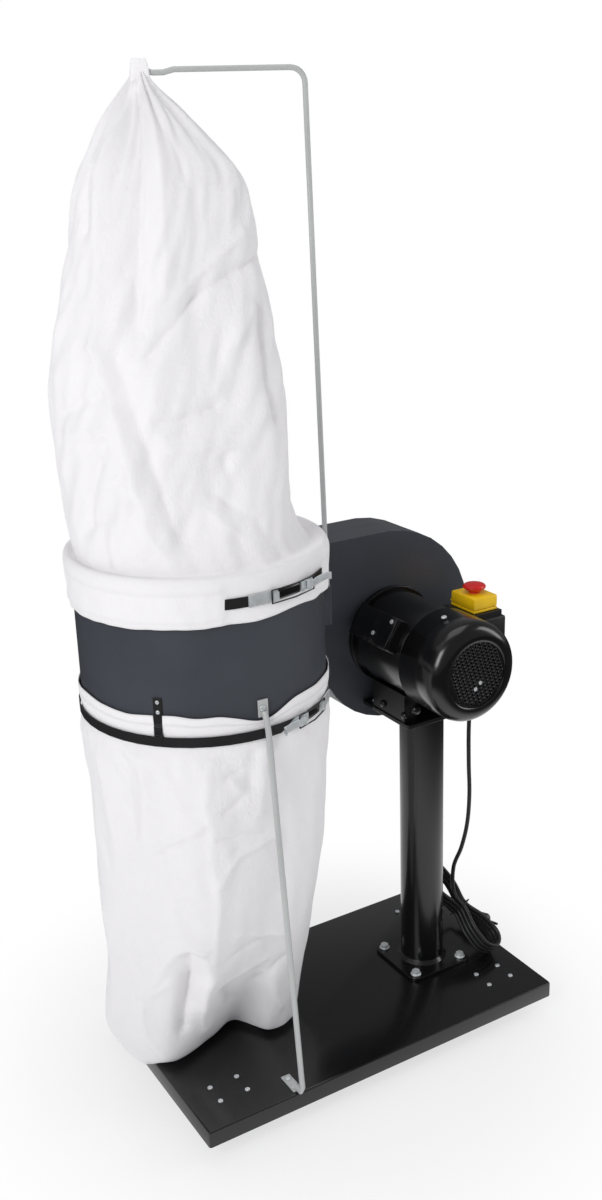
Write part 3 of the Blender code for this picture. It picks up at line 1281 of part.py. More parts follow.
def make_switch():
    """Switch box, panel, two push buttons, hinged flap and the mushroom stop on it."""
    left = MOTOR_X + MOTOR_RADIUS + GAP
    neck_bottom = SWITCH_TOP_Z - SWITCH_NECK_HEIGHT
    case = box(
        "switch_box", (left, SWITCH_FRONT_Y, SWITCH_BOTTOM_Z), (SWITCH_RIGHT_X, SWITCH_BACK_Y, neck_bottom),
        "black_plastic", edge=SWITCH_EDGE,
    )
    inset = SWITCH_NECK_INSET
    neck = box(
        "switch_neck", (left + inset, SWITCH_FRONT_Y + inset, neck_bottom - SWITCH_EDGE),
        (SWITCH_RIGHT_X - inset, SWITCH_BACK_Y - inset, SWITCH_TOP_Z),
    )
    hole_width = BUTTON_WIDTH + 2 * GAP
    hole_length = BUTTON_LENGTH + 2 * GAP
    pocket_half = BUTTON_SPREAD + hole_length / 2 + GAP
    pocket = box(
        "switch_pocket",
        (PANEL_X - hole_width / 2 - GAP, PANEL_Y - pocket_half, SWITCH_TOP_Z - SWITCH_POCKET_DEPTH),
        (PANEL_X + hole_width / 2 + GAP, PANEL_Y + pocket_half, SWITCH_TOP_Z + SWITCH_NECK_HEIGHT),
    )
    cut(join(case, neck), pocket)
    panel_bottom = SWITCH_TOP_Z + GAP
    panel_top = panel_bottom + PANEL_THICKNESS
    half_x, half_y = PANEL_WIDTH / 2, PANEL_LENGTH / 2
    panel = box(
        "switch_panel", (PANEL_X - half_x, PANEL_Y - half_y, panel_bottom),
        (PANEL_X + half_x, PANEL_Y + half_y, panel_top), "yellow", edge=PANEL_THICKNESS / 4,
    )
    for name, finish, side in (("stop_button", "red", -1), ("start_button", "green", 1)):
        y = PANEL_Y + side * BUTTON_SPREAD
        hole = box(
            f"{name}_hole", (PANEL_X - hole_width / 2, y - hole_length / 2, SWITCH_TOP_Z - GAP),
            (PANEL_X + hole_width / 2, y + hole_length / 2, panel_top + GAP),
        )
        cut(panel, hole)
        holder = empty(f"{name}_slide", (PANEL_X, y, panel_top), (0, 0, 0), MACHINE)
        box(
            name, (-BUTTON_WIDTH / 2, -BUTTON_LENGTH / 2, -BUTTON_DEPTH - PANEL_THICKNESS),
            (BUTTON_WIDTH / 2, BUTTON_LENGTH / 2, BUTTON_PROUD), finish, edge=SWITCH_EDGE / 3, parent=holder,
        )
    make_flap(panel_top)


def make_flap(panel_top):
    """The yellow flap over the buttons, hinged at the back, with the red mushroom through its top."""
    half_x, half_y = PANEL_WIDTH / 2, PANEL_LENGTH / 2
    hinge_y = PANEL_Y + half_y + FLAP_HINGE_BARREL
    hinge_z = panel_top + GAP + FLAP_HINGE_BARREL
    hinge = empty("flap_hinge", (PANEL_X, hinge_y, hinge_z), (0, 0, 0), MACHINE)
    low_z = panel_top + GAP - hinge_z
    top_z = low_z + FLAP_HEIGHT
    near, far = PANEL_Y - half_y - hinge_y, PANEL_Y + half_y - hinge_y
    flap = box(
        "switch_flap", (-half_x, near, low_z), (half_x, far, top_z), "yellow", edge=FLAP_EDGE, parent=hinge
    )
    cavity = box(
        "flap_cavity", (FLAP_WALL - half_x, near + FLAP_WALL, low_z - FLAP_WALL),
        (half_x - FLAP_WALL, far - FLAP_WALL, top_z - FLAP_WALL), parent=hinge,
    )
    barrel = cylinder(
        "flap_barrel", FLAP_HINGE_BARREL, -half_x + FLAP_EDGE, half_x - FLAP_EDGE, parent=hinge,
        rotation=(0, math.radians(90), 0), segments=12,
    )
    ear = box(
        "flap_ear", (-half_x + FLAP_EDGE, -FLAP_HINGE_BARREL - FLAP_WALL / 2, -FLAP_HINGE_BARREL / 2),
        (half_x - FLAP_EDGE, 0, FLAP_HINGE_BARREL / 2), parent=hinge,
    )
    stem_hole = cylinder(
        "flap_stem_hole", MUSHROOM_STEM_RADIUS + GAP, -FLAP_HEIGHT, 2 * FLAP_HEIGHT, parent=hinge,
        location=(0, PANEL_Y - hinge_y, 0), segments=20,
    )
    join(flap, barrel, ear)
    cut(flap, cavity, stem_hole)
    flange_top = -FLAP_WALL - GAP
    cap_bottom = MUSHROOM_ROOM + GAP
    crown = cap_bottom + MUSHROOM_HEIGHT
    edge = MUSHROOM_HEIGHT * 0.45
    profile = [(0, crown), (MUSHROOM_RADIUS * 0.55, crown - edge / 6)]
    profile += [(MUSHROOM_RADIUS * 0.88, crown - edge / 2), (MUSHROOM_RADIUS, crown - edge)]
    profile += [(MUSHROOM_RADIUS * 0.95, crown - edge * 1.5)]
    profile += [(MUSHROOM_STEM_RADIUS * 1.4, cap_bottom), (MUSHROOM_STEM_RADIUS, cap_bottom)]
    profile += [(MUSHROOM_STEM_RADIUS, flange_top), (MUSHROOM_FLANGE_RADIUS, flange_top)]
    profile += [(MUSHROOM_FLANGE_RADIUS, flange_top - MUSHROOM_FLANGE), (0, flange_top - MUSHROOM_FLANGE)]
    slide = empty("mushroom_slide", (0, PANEL_Y - hinge_y, top_z), (0, 0, 0), hinge)
    turned("stop_mushroom", profile, "red", steps=20, closed=False, parent=slide)


def gland_tip():
    """The point where the cord leaves its gland, straight down."""
    return Vector((GLAND_X, GLAND_Y, SWITCH_BOTTOM_Z - GAP - GLAND_LENGTH))


def hank_frame():
    """The hank's middle, and unit vectors along it, across it and out of its plane."""
    along = (HANK_HIGH - HANK_LOW).normalized()
    across = along.cross(Vector((0, 0, 1))).normalized()
    return (HANK_HIGH + HANK_LOW) / 2, along, across, along.cross(across)


def hank_points():
    """The hank's route: long loops side by side, drawn in at the tie, in one unbroken run."""
    middle, along, across, out = hank_frame()
    run = (HANK_HIGH - HANK_LOW).length - 2 * HANK_HALF_WIDTH
    turn = math.pi * HANK_HALF_WIDTH
    lap = 2 * run + 2 * turn
    points = []
    count = round(HANK_LOOPS * HANK_POINTS_PER_LOOP)
    for k in range(count + 1):
        loops_done = k / HANK_POINTS_PER_LOOP
        walked = ((loops_done + 0.5) % 1.0) * lap
        if walked < run / 2:
            u, v = walked, HANK_HALF_WIDTH
        elif walked < run / 2 + turn:
            bend = (walked - run / 2) / HANK_HALF_WIDTH
            u, v = run / 2 + HANK_HALF_WIDTH * math.sin(bend), HANK_HALF_WIDTH * math.cos(bend)
        elif walked < 3 * run / 2 + turn:
            u, v = run + turn - walked, -HANK_HALF_WIDTH
        elif walked < 3 * run / 2 + 2 * turn:
            bend = (walked - 3 * run / 2 - turn) / HANK_HALF_WIDTH
            u, v = -run / 2 - HANK_HALF_WIDTH * math.sin(bend), -HANK_HALF_WIDTH * math.cos(bend)
        else:
            u, v = walked - lap, HANK_HALF_WIDTH
        drawn = 1 - (1 - HANK_WAIST_HALF_WIDTH / HANK_HALF_WIDTH) * math.exp(-((u / HANK_WAIST_REACH) ** 2))
        layer = (loops_done - HANK_LOOPS / 2) * HANK_PITCH
        points.append(middle + along * u + across * v * drawn + out * layer)
    return points


def least_self_gap(points, radius, neighbours):
    """The smallest clear distance between stretches of one tube that aren't neighbours."""
    least = math.inf
    fine = []
    for p, q in zip(points, points[1:]):
        fine += [p.lerp(q, k / 4) for k in range(4)]
    for i, p in enumerate(fine):
        for q in fine[i + 4 * neighbours:]:
            least = min(least, (p - q).length)
    return least - 2 * radius


def make_cord():
    """Gland, hanging stretch, hank with its tie, tail and plug."""
    tip = gland_tip()
    profile = (
        (0, 0), (GLAND_RADIUS, 0), (GLAND_RADIUS, -GLAND_LENGTH * 0.35),
        (GLAND_RADIUS * 0.8, -GLAND_LENGTH * 0.4), (GLAND_TIP_RADIUS, -GLAND_LENGTH), (0, -GLAND_LENGTH),
    )
    turned(
        "cord_gland", profile, "black_plastic", steps=16, closed=False,
        location=(GLAND_X, GLAND_Y, SWITCH_BOTTOM_Z - GAP),
    )
    loops = hank_points()
    start_way = (loops[1] - loops[0]).normalized()
    end_way = (loops[-1] - loops[-2]).normalized()
    tube("cord_hank", loops, CORD_RADIUS, "cord_black", 1)
    gap = least_self_gap(loops, CORD_RADIUS, HANK_POINTS_PER_LOOP // 3)
    print(f"cord_hank: least gap to itself {gap * 1000:.2f} mm")
    join_at = loops[0] - start_way * CORD_JOIN_GAP
    drop_knots = [
        tip - Vector((0, 0, GAP)), tip - Vector((0, 0, GLAND_LEAD)), (0.303, -0.002, 0.470),
        (0.300, -0.004, 0.420), (0.301, -0.004, 0.360), (0.304, -0.003, 0.300), (0.303, 0.001, 0.240),
        (0.295, 0.007, 0.190), (0.282, 0.013, 0.150), join_at - start_way * HANK_LEAD_IN, join_at,
    ]
    tube("cord_drop", smooth_route(drop_knots, CORD_RADIUS * 5), CORD_RADIUS, "cord_black", 2)
    make_plug(loops[-1] + end_way * CORD_JOIN_GAP, end_way)
    make_tie()


def make_tie():
    """The wire tie drawn round the hank's waist."""
    middle, _, across, out = hank_frame()
    half_v = HANK_WAIST_HALF_WIDTH + CORD_RADIUS + TIE_RADIUS + GAP
    half_w = HANK_LOOPS / 2 * HANK_PITCH + CORD_RADIUS + TIE_RADIUS + GAP
    outline = rounded_rectangle(2 * half_v, 2 * half_w, CORD_RADIUS, 4)
    tube("hank_tie", [middle + across * v + out * w for v, w in outline], TIE_RADIUS, "cord_black", 1, True)


def make_plug(tail_start, tail_way):
    """The two-pin plug lying on the tray, and the short tail of cord that runs to it."""
    way = Vector((math.cos(PLUG_TURN + math.pi / 2), math.sin(PLUG_TURN + math.pi / 2), 0))
    lie = (math.radians(90), 0, PLUG_TURN + math.pi)
    half = PLUG_LENGTH / 2
    flat = PLUG_RADIUS - PLUG_RADIUS / 6
    profile = (
        (0, half), (PLUG_RADIUS * 0.92, half), (PLUG_RADIUS, half - PLUG_RADIUS / 8), (flat, -half),
        (PLUG_NECK_RADIUS, -half - PLUG_NECK_LENGTH / 5), (CORD_RADIUS * 1.4, -half - PLUG_NECK_LENGTH),
        (0, -half - PLUG_NECK_LENGTH),
    )
    plug = turned(
        "power_plug", profile, "black_plastic", steps=20, closed=False, location=PLUG_CENTRE, rotation=lie
    )
    for side in (-1, 1):
        pin = cylinder(
            f"plug_pin_{side}", PLUG_PIN_RADIUS, half - PLUG_PIN_RADIUS, half + PLUG_PIN_LENGTH, segments=10,
            location=PLUG_CENTRE, rotation=lie,
        )
        for vert in pin.data.vertices:
            vert.co.x += side * PLUG_PIN_SPREAD
        join(plug, pin)
    back = PLUG_CENTRE - way * (half + PLUG_NECK_LENGTH + GAP)
    knots = [
        tail_start, tail_start + tail_way * HANK_LEAD_OUT, (0.271, 0.040, 0.082), (0.283, 0.060, 0.074),
        (0.298, 0.074, 0.054), (0.310, 0.076, 0.032), back - way * PLUG_LEAD, back,
    ]
    tube("cord_tail", smooth_route(knots, CORD_RADIUS * 4), CORD_RADIUS, "cord_black", 2)


def main():
    """Build every piece of the dust collector."""
    clear_scene()
    make_tray()
    corners = (("front_left", -1, -1), ("front_right", 1, -1), ("back_left", -1, 1), ("back_right", 1, 1))
    for corner, sx, sy in corners:
        heading = 0.0 if sx < 0 else math.pi
        make_caster(corner, sx * CASTER_SPREAD_X, sy * CASTER_SPREAD_Y, heading)
    make_pedestal()
    make_bracket()
    axis = empty("motor_axis", (MOTOR_X, 0, MOTOR_Z), (math.radians(-90), 0, 0), MACHINE)
    make_motor(axis)
    make_terminal_box(axis)
    housing_half("housing_front", HOUSING_FRONT_Y, HOUSING_SEAM_Y - GAP / 2, SHAFT_HOLE_RADIUS * 2)
    housing_half("housing_back", HOUSING_BACK_Y, HOUSING_SEAM_Y + GAP / 2, INLET_RADIUS - INLET_WALL)
    make_inlet(axis)
    make_impeller(axis)
    make_ring()
    make_latch("upper", UPPER_BAND_Z, UPPER_RACK_ANGLE, UPPER_BASE_ANGLE)
    make_latch("lower", LOWER_BAND_Z, LOWER_RACK_ANGLE, LOWER_BASE_ANGLE)
    make_hook()
    make_strut()
    make_hanger()
    make_bags()
    make_switch()
    make_cord()


main()
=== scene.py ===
"""Dust collector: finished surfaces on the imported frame, photographed in a plain white studio."""

from __future__ import annotations

import json
import logging
import math
from dataclasses import dataclass
from enum import Enum
from itertools import product
from typing import Sequence

import bmesh
import bpy
from mathutils import Euler, Matrix, Vector, noise


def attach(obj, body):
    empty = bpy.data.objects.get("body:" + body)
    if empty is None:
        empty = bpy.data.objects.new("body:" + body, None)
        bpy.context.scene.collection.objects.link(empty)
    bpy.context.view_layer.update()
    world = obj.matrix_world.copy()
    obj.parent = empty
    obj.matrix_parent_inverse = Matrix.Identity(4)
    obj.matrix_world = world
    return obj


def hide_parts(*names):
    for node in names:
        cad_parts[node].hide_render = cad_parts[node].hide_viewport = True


log = logging.getLogger("dust_collector")
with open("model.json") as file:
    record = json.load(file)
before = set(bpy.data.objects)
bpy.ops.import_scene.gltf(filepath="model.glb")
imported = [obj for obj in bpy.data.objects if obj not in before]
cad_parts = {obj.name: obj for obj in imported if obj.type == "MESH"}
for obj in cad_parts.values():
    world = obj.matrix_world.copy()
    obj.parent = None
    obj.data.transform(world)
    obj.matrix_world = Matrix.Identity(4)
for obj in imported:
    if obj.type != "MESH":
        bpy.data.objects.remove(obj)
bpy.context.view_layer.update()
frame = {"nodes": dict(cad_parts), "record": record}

# What several pieces share, in metres and radians: places are measured from the tray's top.
ROOT = "machine"
TRAY_TOP = Vector((0.0275, -0.014, 0.065))
RING_OFFSET = Vector((-0.207, 0.0, 0.0))
RING_AXIS = TRAY_TOP + RING_OFFSET
RING_RADIUS = 0.185
HOOK_TURN = math.radians(-137.0)
STRUT_TURN = math.radians(-91.5)
BAG_LEAN = Vector((-0.029, 0.017, 0.0)).normalized()
FOLD_SINK = 0.75
UP = Vector((0.0, 0.0, 1.0))
WHITE = (1.0, 1.0, 1.0)
MIDDLE = 0.5
GRID_HALF = 0.5
WELD = 0.00002
INWARDS = -1.0
TINY = 1e-6

Span = tuple[float, float]
Triple = tuple[float, float, float]
Rows = tuple[tuple[float, ...], ...]


class Sock:
    """One shader value: a node's output, whose arithmetic adds math nodes."""

    def __init__(self, graph: Graph, socket: bpy.types.NodeSocket) -> None:
        """Wrap an output socket.

        Args:
            graph: The graph the socket belongs to.
            socket: The output socket itself.
        """
        self.graph = graph
        self.socket = socket

    def maths(self, operation: str, first: Value, second: Value = 0.0) -> Sock:
        """Add one math node.

        Args:
            operation: Blender's name for the operation.
            first: Its first operand.
            second: Its second operand.

        Returns:
            The node's value.
        """
        return self.graph.node("ShaderNodeMath", {0: first, 1: second}, operation=operation)

    def __add__(self, other: Value) -> Sock:
        """Add another value."""
        return self.maths("ADD", self, other)

    __radd__ = __add__

    def __mul__(self, other: Value) -> Sock:
        """Multiply by another value."""
        return self.maths("MULTIPLY", self, other)

    __rmul__ = __mul__

    def __sub__(self, other: Value) -> Sock:
        """Subtract another value."""
        return self.maths("SUBTRACT", self, other)

    def __rsub__(self, other: Value) -> Sock:
        """Subtract this value from another."""
        return self.maths("SUBTRACT", other, self)

    def __pow__(self, other: Value) -> Sock:
        """Raise to a power."""
        return self.maths("POWER", self, other)

    def __abs__(self) -> Sock:
        """Drop the sign."""
        return self.maths("ABSOLUTE", self)

    def sine(self) -> Sock:
        """Take the sine, in radians."""
        return self.maths("SINE", self)

    def centred(self) -> Sock:
        """Shift a value of 0 to 1 to lie about 0."""
        return self - MIDDLE

    def raised(self) -> Sock:
        """Bring a wave of -1 to 1 between 0 and 1."""
        return self * MIDDLE + MIDDLE


Value = Sock | float | tuple


class Graph:
    """A node tree, built through one generic node method."""

    MIX_FACTOR, MIX_FIRST, MIX_SECOND = 0, 6, 7
    MIX_RESULT = 2

    def __init__(self, tree: bpy.types.NodeTree) -> None:
        """Wrap a node tree."""
        self.tree = tree

    def node(
        self, kind: str, inputs: dict[int | str, Value], output: int | str = 0, **settings: object
    ) -> Sock:
        """Add any node.

        Args:
            kind: Blender's name for the node type.
            inputs: Values or links by input name or number.
            output: The output wanted.
            settings: Properties set on the node.

        Returns:
            The chosen output.
        """
        made = self.tree.nodes.new(kind)
        for key, value in settings.items():
            setattr(made, key, value)
        for key, value in inputs.items():
            self.join(value, made.inputs[key])
        return Sock(self, made.outputs[output])

    def join(self, value: Value, socket: bpy.types.NodeSocket) -> None:
        """Link a value to an input, or set it there when it is constant.

        Args:
            value: The value.
            socket: The input.
        """
        if isinstance(value, Sock):
            self.tree.links.new(value.socket, socket)
        else:
            socket.default_value = value

    def mix(self, factor: Value, first: Value, second: Value) -> Sock:
        """Mix two colours.

        Args:
            factor: The second colour's share.
            first: The colour at 0.
            second: The colour at 1.

        Returns:
            The mixed colour.
        """
        inputs = {self.MIX_FACTOR: factor, self.MIX_FIRST: first, self.MIX_SECOND: second}
        return self.node("ShaderNodeMix", inputs, self.MIX_RESULT, data_type="RGBA")


class FinishGraph(Graph):
    """A material's node tree, round its Principled shader."""

    def __init__(self, name: str) -> None:
        """Start a material with a Principled shader.

        Args:
            name: The material's name.
        """
        self.material = bpy.data.materials.new(name)
        self.material.use_nodes = True
        super().__init__(self.material.node_tree)
        self.shader = self.tree.nodes["Principled BSDF"]

    def feed(self, **inputs: Value) -> None:
        """Set or link the Principled shader's inputs.

        Args:
            inputs: Values by input name, with underscores for spaces.
        """
        for name, value in inputs.items():
            self.join(value, self.shader.inputs[name.replace("_", " ")])

    def place(self, stretch: Triple = (1.0, 1.0, 1.0)) -> Sock:
        """Object coordinates, stretched.

        Args:
            stretch: A factor for each axis.

        Returns:
            The coordinates.
        """
        where = self.node("ShaderNodeTexCoord", {}, "Object")
        return self.node("ShaderNodeVectorMath", {0: where, 1: stretch}, operation="MULTIPLY")

    def cloud(self, where: Sock, scale: float, detail: float = 2.0, rough: float = 0.5) -> Sock:
        """Noise between 0 and 1.

        Args:
            where: The coordinates.
            scale: Its frequency, per metre.
            detail: Its octaves.
            rough: How strong the finer octaves are.

        Returns:
            The noise value.
        """
        inputs = {"Vector": where, "Scale": scale, "Detail": detail, "Roughness": rough}
        return self.node("ShaderNodeTexNoise", inputs, "Fac")

    def bump(self, height: Sock, strength: float, depth: float) -> None:
        """Feed a height to the shader's Normal.

        Args:
            height: The height, from 0 to 1.
            strength: How much of it shows.
            depth: The height's real size, in metres.
        """
        inputs = {"Height": height, "Strength": strength, "Distance": depth}
        self.feed(Normal=self.node("ShaderNodeBump", inputs))


def rgba(colour: Sequence[float], gain: float = 1.0) -> tuple[float, float, float, float]:
    """An opaque colour.

    Args:
        colour: Red, green and blue, linear.
        gain: A factor on all three.

    Returns:
        Four numbers.
    """
    return (colour[0] * gain, colour[1] * gain, colour[2] * gain, 1.0)


@dataclass(frozen=True)
class Paint:
    """A sprayed enamel: orange peel, faint cloudiness and fine specks."""

    colour: Triple
    roughness: float
    coat: float
    peel: float
    coat_roughness: float = 0.12
    cloud_scale: float = 9.0
    cloud_detail: float = 4.0
    cloud_tone: float = 0.5
    cloud_dulling: float = 0.16
    speck_scale: float = 420.0
    speck_detail: float = 1.0
    speck_tone: float = 0.25
    speck_dulling: float = 0.05
    peel_scale: float = 650.0
    peel_height: float = 0.0004
    dark: float = 0.75
    light: float = 1.35

    def make(self, name: str) -> bpy.types.Material:
        """Build the material.

        Args:
            name: The material's name.

        Returns:
            The material.
        """
        graph = FinishGraph(name)
        where = graph.place()
        cloudy = graph.cloud(where, self.cloud_scale, self.cloud_detail)
        specks = graph.cloud(where, self.speck_scale, self.speck_detail)
        tone = cloudy * self.cloud_tone + specks * self.speck_tone
        dulling = cloudy.centred() * self.cloud_dulling + specks.centred() * self.speck_dulling
        graph.feed(
            Base_Color=graph.mix(tone, rgba(self.colour, self.dark), rgba(self.colour, self.light)),
            Roughness=self.roughness + dulling,
            Coat_Weight=self.coat,
            Coat_Roughness=self.coat_roughness,
        )
        graph.bump(graph.cloud(where, self.peel_scale), self.peel, self.peel_height)
        return graph.material


@dataclass(frozen=True)
class Plate:
    """Bare or plated metal with a drawn grain and dull patches."""

    colour: Triple
    roughness: float
    grain: Triple
    bare: float = 1.0
    grain_scale: float = 90.0
    grain_detail: float = 3.0
    grain_fineness: float = 0.7
    grain_dulling: float = 0.25
    grain_strength: float = 0.12
    grain_height: float = 0.0003
    patch_scale: float = 60.0
    patch_detail: float = 3.0
    patch_dulling: float = 0.15
    dark: float = 0.7
    light: float = 1.15

    def make(self, name: str) -> bpy.types.Material:
        """Build the material.

        Args:
            name: The material's name.

        Returns:
            The material.
        """
        graph = FinishGraph(name)
        grained = graph.place(self.grain)
        drawn = graph.cloud(grained, self.grain_scale, self.grain_detail, self.grain_fineness)
        patches = graph.cloud(graph.place(), self.patch_scale, self.patch_detail)
        dulling = drawn.centred() * self.grain_dulling + patches.centred() * self.patch_dulling
        graph.feed(
            Base_Color=graph.mix(patches, rgba(self.colour, self.dark), rgba(self.colour, self.light)),
            Metallic=self.bare,
            Roughness=self.roughness + dulling,
        )
        graph.bump(drawn, self.grain_strength, self.grain_height)
        return graph.material


@dataclass(frozen=True)
class Moulded:
    """Moulded plastic or rubber with a fine spark-eroded grain."""

    colour: Triple
    roughness: float
    grain: float
    grain_scale: float = 1500.0
    grain_height: float = 0.0002
    wear_scale: float = 25.0
    wear_detail: float = 4.0
    wear_dulling: float = 0.18
    dark: float = 0.82
    light: float = 1.2

    def make(self, name: str) -> bpy.types.Material:
        """Build the material.

        Args:
            name: The material's name.

        Returns:
            The material.
        """
        graph = FinishGraph(name)
        where = graph.place()
        worn = graph.cloud(where, self.wear_scale, self.wear_detail)
        graph.feed(
            Base_Color=graph.mix(worn, rgba(self.colour, self.dark), rgba(self.colour, self.light)),
            Roughness=self.roughness + worn.centred() * self.wear_dulling,
        )
        graph.bump(graph.cloud(where, self.grain_scale), self.grain, self.grain_height)
        return graph.material


@dataclass(frozen=True)
class Cotton:
    """Woven cotton: over-and-under threads, slubs, creases with painted shade in their valleys and painted
    light on their crests, and darker stitched seams.
    """

    colour: Triple
    thread: float
    roughness: float = 0.86
    sheen: float = 0.25
    weave_tone: float = 0.1
    weave_relief: float = 0.08
    slub_stretch: Triple = (1.0, 1.0, 0.12)
    slub_scale: float = 260.0
    slub_detail: float = 3.0
    slub_tone: float = 0.2
    slub_dulling: float = 0.1
    slub_relief: float = 0.2
    crease_scale: float = 14.0
    crease_detail: float = 5.0
    crease_fineness: float = 0.6
    crease_spread: float = 0.6
    # Painted shade and light: how much darker the crease valleys are drawn, and how much lighter their
    # crests.
    crease_shade: float = 0.35
    crease_relief: float = 0.9
    seam_share: float = 0.35
    seam_tone: float = 0.72
    seam_relief: float = 0.4
    relief_strength: float = 0.7
    relief_height: float = 0.0036
    dark: float = 0.97
    light: float = 1.03

    def make(self, name: str) -> bpy.types.Material:
        """Build the material.

        Args:
            name: The material's name.

        Returns:
            The material.
        """
        graph = FinishGraph(name)
        flat = graph.node("ShaderNodeTexCoord", {}, "UV")
        across = graph.node("ShaderNodeSeparateXYZ", {0: flat}, "X")
        along = graph.node("ShaderNodeSeparateXYZ", {0: flat}, "Y")
        turns = math.tau / self.thread
        weave = ((across * turns).sine() * (along * turns).sine()).raised()
        slubs = graph.cloud(graph.place(self.slub_stretch), self.slub_scale, self.slub_detail)
        crumpled = graph.cloud(graph.place(), self.crease_scale, self.crease_detail, self.crease_fineness)
        creases = abs(crumpled.centred()) ** self.crease_spread
        seam = graph.node("ShaderNodeAttribute", {}, "Fac", attribute_name="seam")
        # The creases' share of the tone is painted shade and light: darker in the crease valleys of the
        # bump, lighter on its crests.
        tone = creases * self.crease_shade + slubs * self.slub_tone + weave * self.weave_tone
        cloth = graph.mix(tone, rgba(self.colour, self.dark), rgba(self.colour, self.light))
        graph.feed(
            Base_Color=graph.mix(seam * self.seam_share, cloth, rgba(self.colour, self.seam_tone)),
            Roughness=self.roughness + slubs.centred() * self.slub_dulling,
            Sheen_Weight=self.sheen,
        )
        relief = weave * self.weave_relief + slubs * self.slub_relief + creases * self.crease_relief
        graph.bump(relief - seam * self.seam_relief, self.relief_strength, self.relief_height)
        return graph.material


FINISHES = {
    "gloss_black": Paint((0.0045, 0.0045, 0.0048), roughness=0.22, coat=0.20, peel=0.07),
    "anthracite": Paint((0.051, 0.057, 0.070), roughness=0.40, coat=0.10, peel=0.08),
    "pale_grey": Paint((0.46, 0.47, 0.47), roughness=0.38, coat=0.10, peel=0.06),
    "zinc": Plate((0.82, 0.86, 0.88), roughness=0.34, grain=(1.0, 1.0, 6.0), bare=0.55),
    "steel": Plate((0.48, 0.47, 0.45), roughness=0.32, grain=(1.0, 8.0, 1.0)),
    "laminations": Plate((0.30, 0.29, 0.28), roughness=0.45, grain=(1.0, 30.0, 1.0)),
    "black_plastic": Moulded((0.012, 0.012, 0.013), roughness=0.42, grain=0.14),
    "cord_black": Moulded((0.010, 0.010, 0.011), roughness=0.45, grain=0.10),
    "tyre_grey": Moulded((0.035, 0.035, 0.036), roughness=0.62, grain=0.25),
    "yellow": Moulded((0.86, 0.54, 0.006), roughness=0.34, grain=0.08),
    "red": Moulded((0.60, 0.014, 0.012), roughness=0.30, grain=0.06),
    "green": Moulded((0.020, 0.27, 0.060), roughness=0.32, grain=0.06),
    "white_cotton": Cotton((0.895, 0.882, 0.898), thread=0.0011),
}


class Wardrobe:
    """Makes each finish once and hands it out by its slot's name."""

    def __init__(self) -> None:
        """Start with nothing made."""
        self.made: dict[str, bpy.types.Material] = {}

    def take(self, slot: str) -> bpy.types.Material:
        """The material for one slot.

        Args:
            slot: The record's material slot.

        Returns:
            The material.
        """
        if slot not in self.made:
            self.made[slot] = FINISHES[slot].make(slot + "_finish")
        return self.made[slot]


WARDROBE = Wardrobe()


def piece(name: str, shape: bmesh.types.BMesh, slot: str) -> bpy.types.Object:
    """Turn a shape into a finished piece that rides on the machine.

    Args:
        name: The piece's name.
        shape: Its geometry in the row frame, freed here.
        slot: The material slot it takes.

    Returns:
        The piece.
    """
    data = bpy.data.meshes.new(name)
    bmesh.ops.recalc_face_normals(shape, faces=shape.faces)
    shape.to_mesh(data)
    shape.free()
    for face in data.polygons:
        face.use_smooth = True
    return settle(bpy.data.objects.new(name, data), slot)


def settle(made: bpy.types.Object, slot: str) -> bpy.types.Object:
    """Link a piece, give it its finish and let it ride on the machine.

    Args:
        made: The object.
        slot: The material slot it takes.

    Returns:
        The same object.
    """
    bpy.context.scene.collection.objects.link(made)
    made.data.materials.append(WARDROBE.take(slot))
    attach(made, ROOT)
    log.info("%s: %s", made.name, slot)
    return made


def thicken(made: bpy.types.Object, wall: float) -> None:
    """Give a piece's sheet its thickness, inwards.

    Args:
        made: The piece.
        wall: The thickness, in metres.
    """
    solid = made.modifiers.new("wall", "SOLIDIFY")
    solid.thickness = wall
    solid.offset = INWARDS


def signed(turn: float) -> float:
    """The same angle, between -pi and pi."""
    return (turn + math.pi) % math.tau - math.pi


def ramp(low: float, high: float, value: float) -> float:
    """A straight step from 0 at low to 1 at high."""
    return min(max((value - low) / (high - low), 0.0), 1.0)


def blend(low: float, high: float, value: float) -> float:
    """A smooth step from 0 at low to 1 at high."""
    t = ramp(low, high, value)
    return t * t * (3.0 - 2.0 * t)


def through(table: Rows, at: float) -> list[float]:
    """Read a table of knots with smooth curves between them.

    Args:
        table: Rows of a rising parameter and the values there.
        at: The parameter.

    Returns:
        The values at that parameter.
    """
    at = min(max(at, table[0][0]), table[-1][0])
    k = max(i for i in range(len(table) - 1) if table[i][0] <= at)
    rows = [table[min(max(i, 0), len(table) - 1)] for i in (k - 1, k, k + 1, k + 2)]
    span = rows[2][0] - rows[1][0]
    t = (at - rows[1][0]) / span
    values = []
    for j in range(1, len(table[0])):
        slope_in = (rows[2][j] - rows[0][j]) / max(rows[2][0] - rows[0][0], TINY) * span
        slope_out = (rows[3][j] - rows[1][j]) / max(rows[3][0] - rows[1][0], TINY) * span
        a, b = rows[1][j], rows[2][j]
        bend = t * (1 - t) * ((1 - t) * (slope_in - b + a) + t * (b - a - slope_out))
        values.append(a + (b - a) * t + bend)
    return values


@dataclass(frozen=True)
class Ripple:
    """A layer of unevenness in a bag's cloth, which closes on itself round the bag.

    Around and upward say how fast it changes, and twist slants it, in radians per metre.
    """

    depth: float
    around: float
    upward: float
    seed: float
    twist: float = 0.0

    def at(self, turn: float, height: float) -> float:
        """How strong the layer is at a point.

        Args:
            turn: The angle round the bag.
            height: The height above the tray.

        Returns:
            Its strength there, in the unit of its depth.
        """
        turned = turn + height * self.twist
        x = math.cos(turned) * self.around + self.seed
        y = math.sin(turned) * self.around
        z = height * self.upward + self.seed
        return self.depth * noise.noise(Vector((x, y, z)))


def waver(layers: Sequence[Ripple], turn: float, height: float) -> float:
    """The sum of several layers of unevenness at a point."""
    return sum(layer.at(turn, height) for layer in layers)


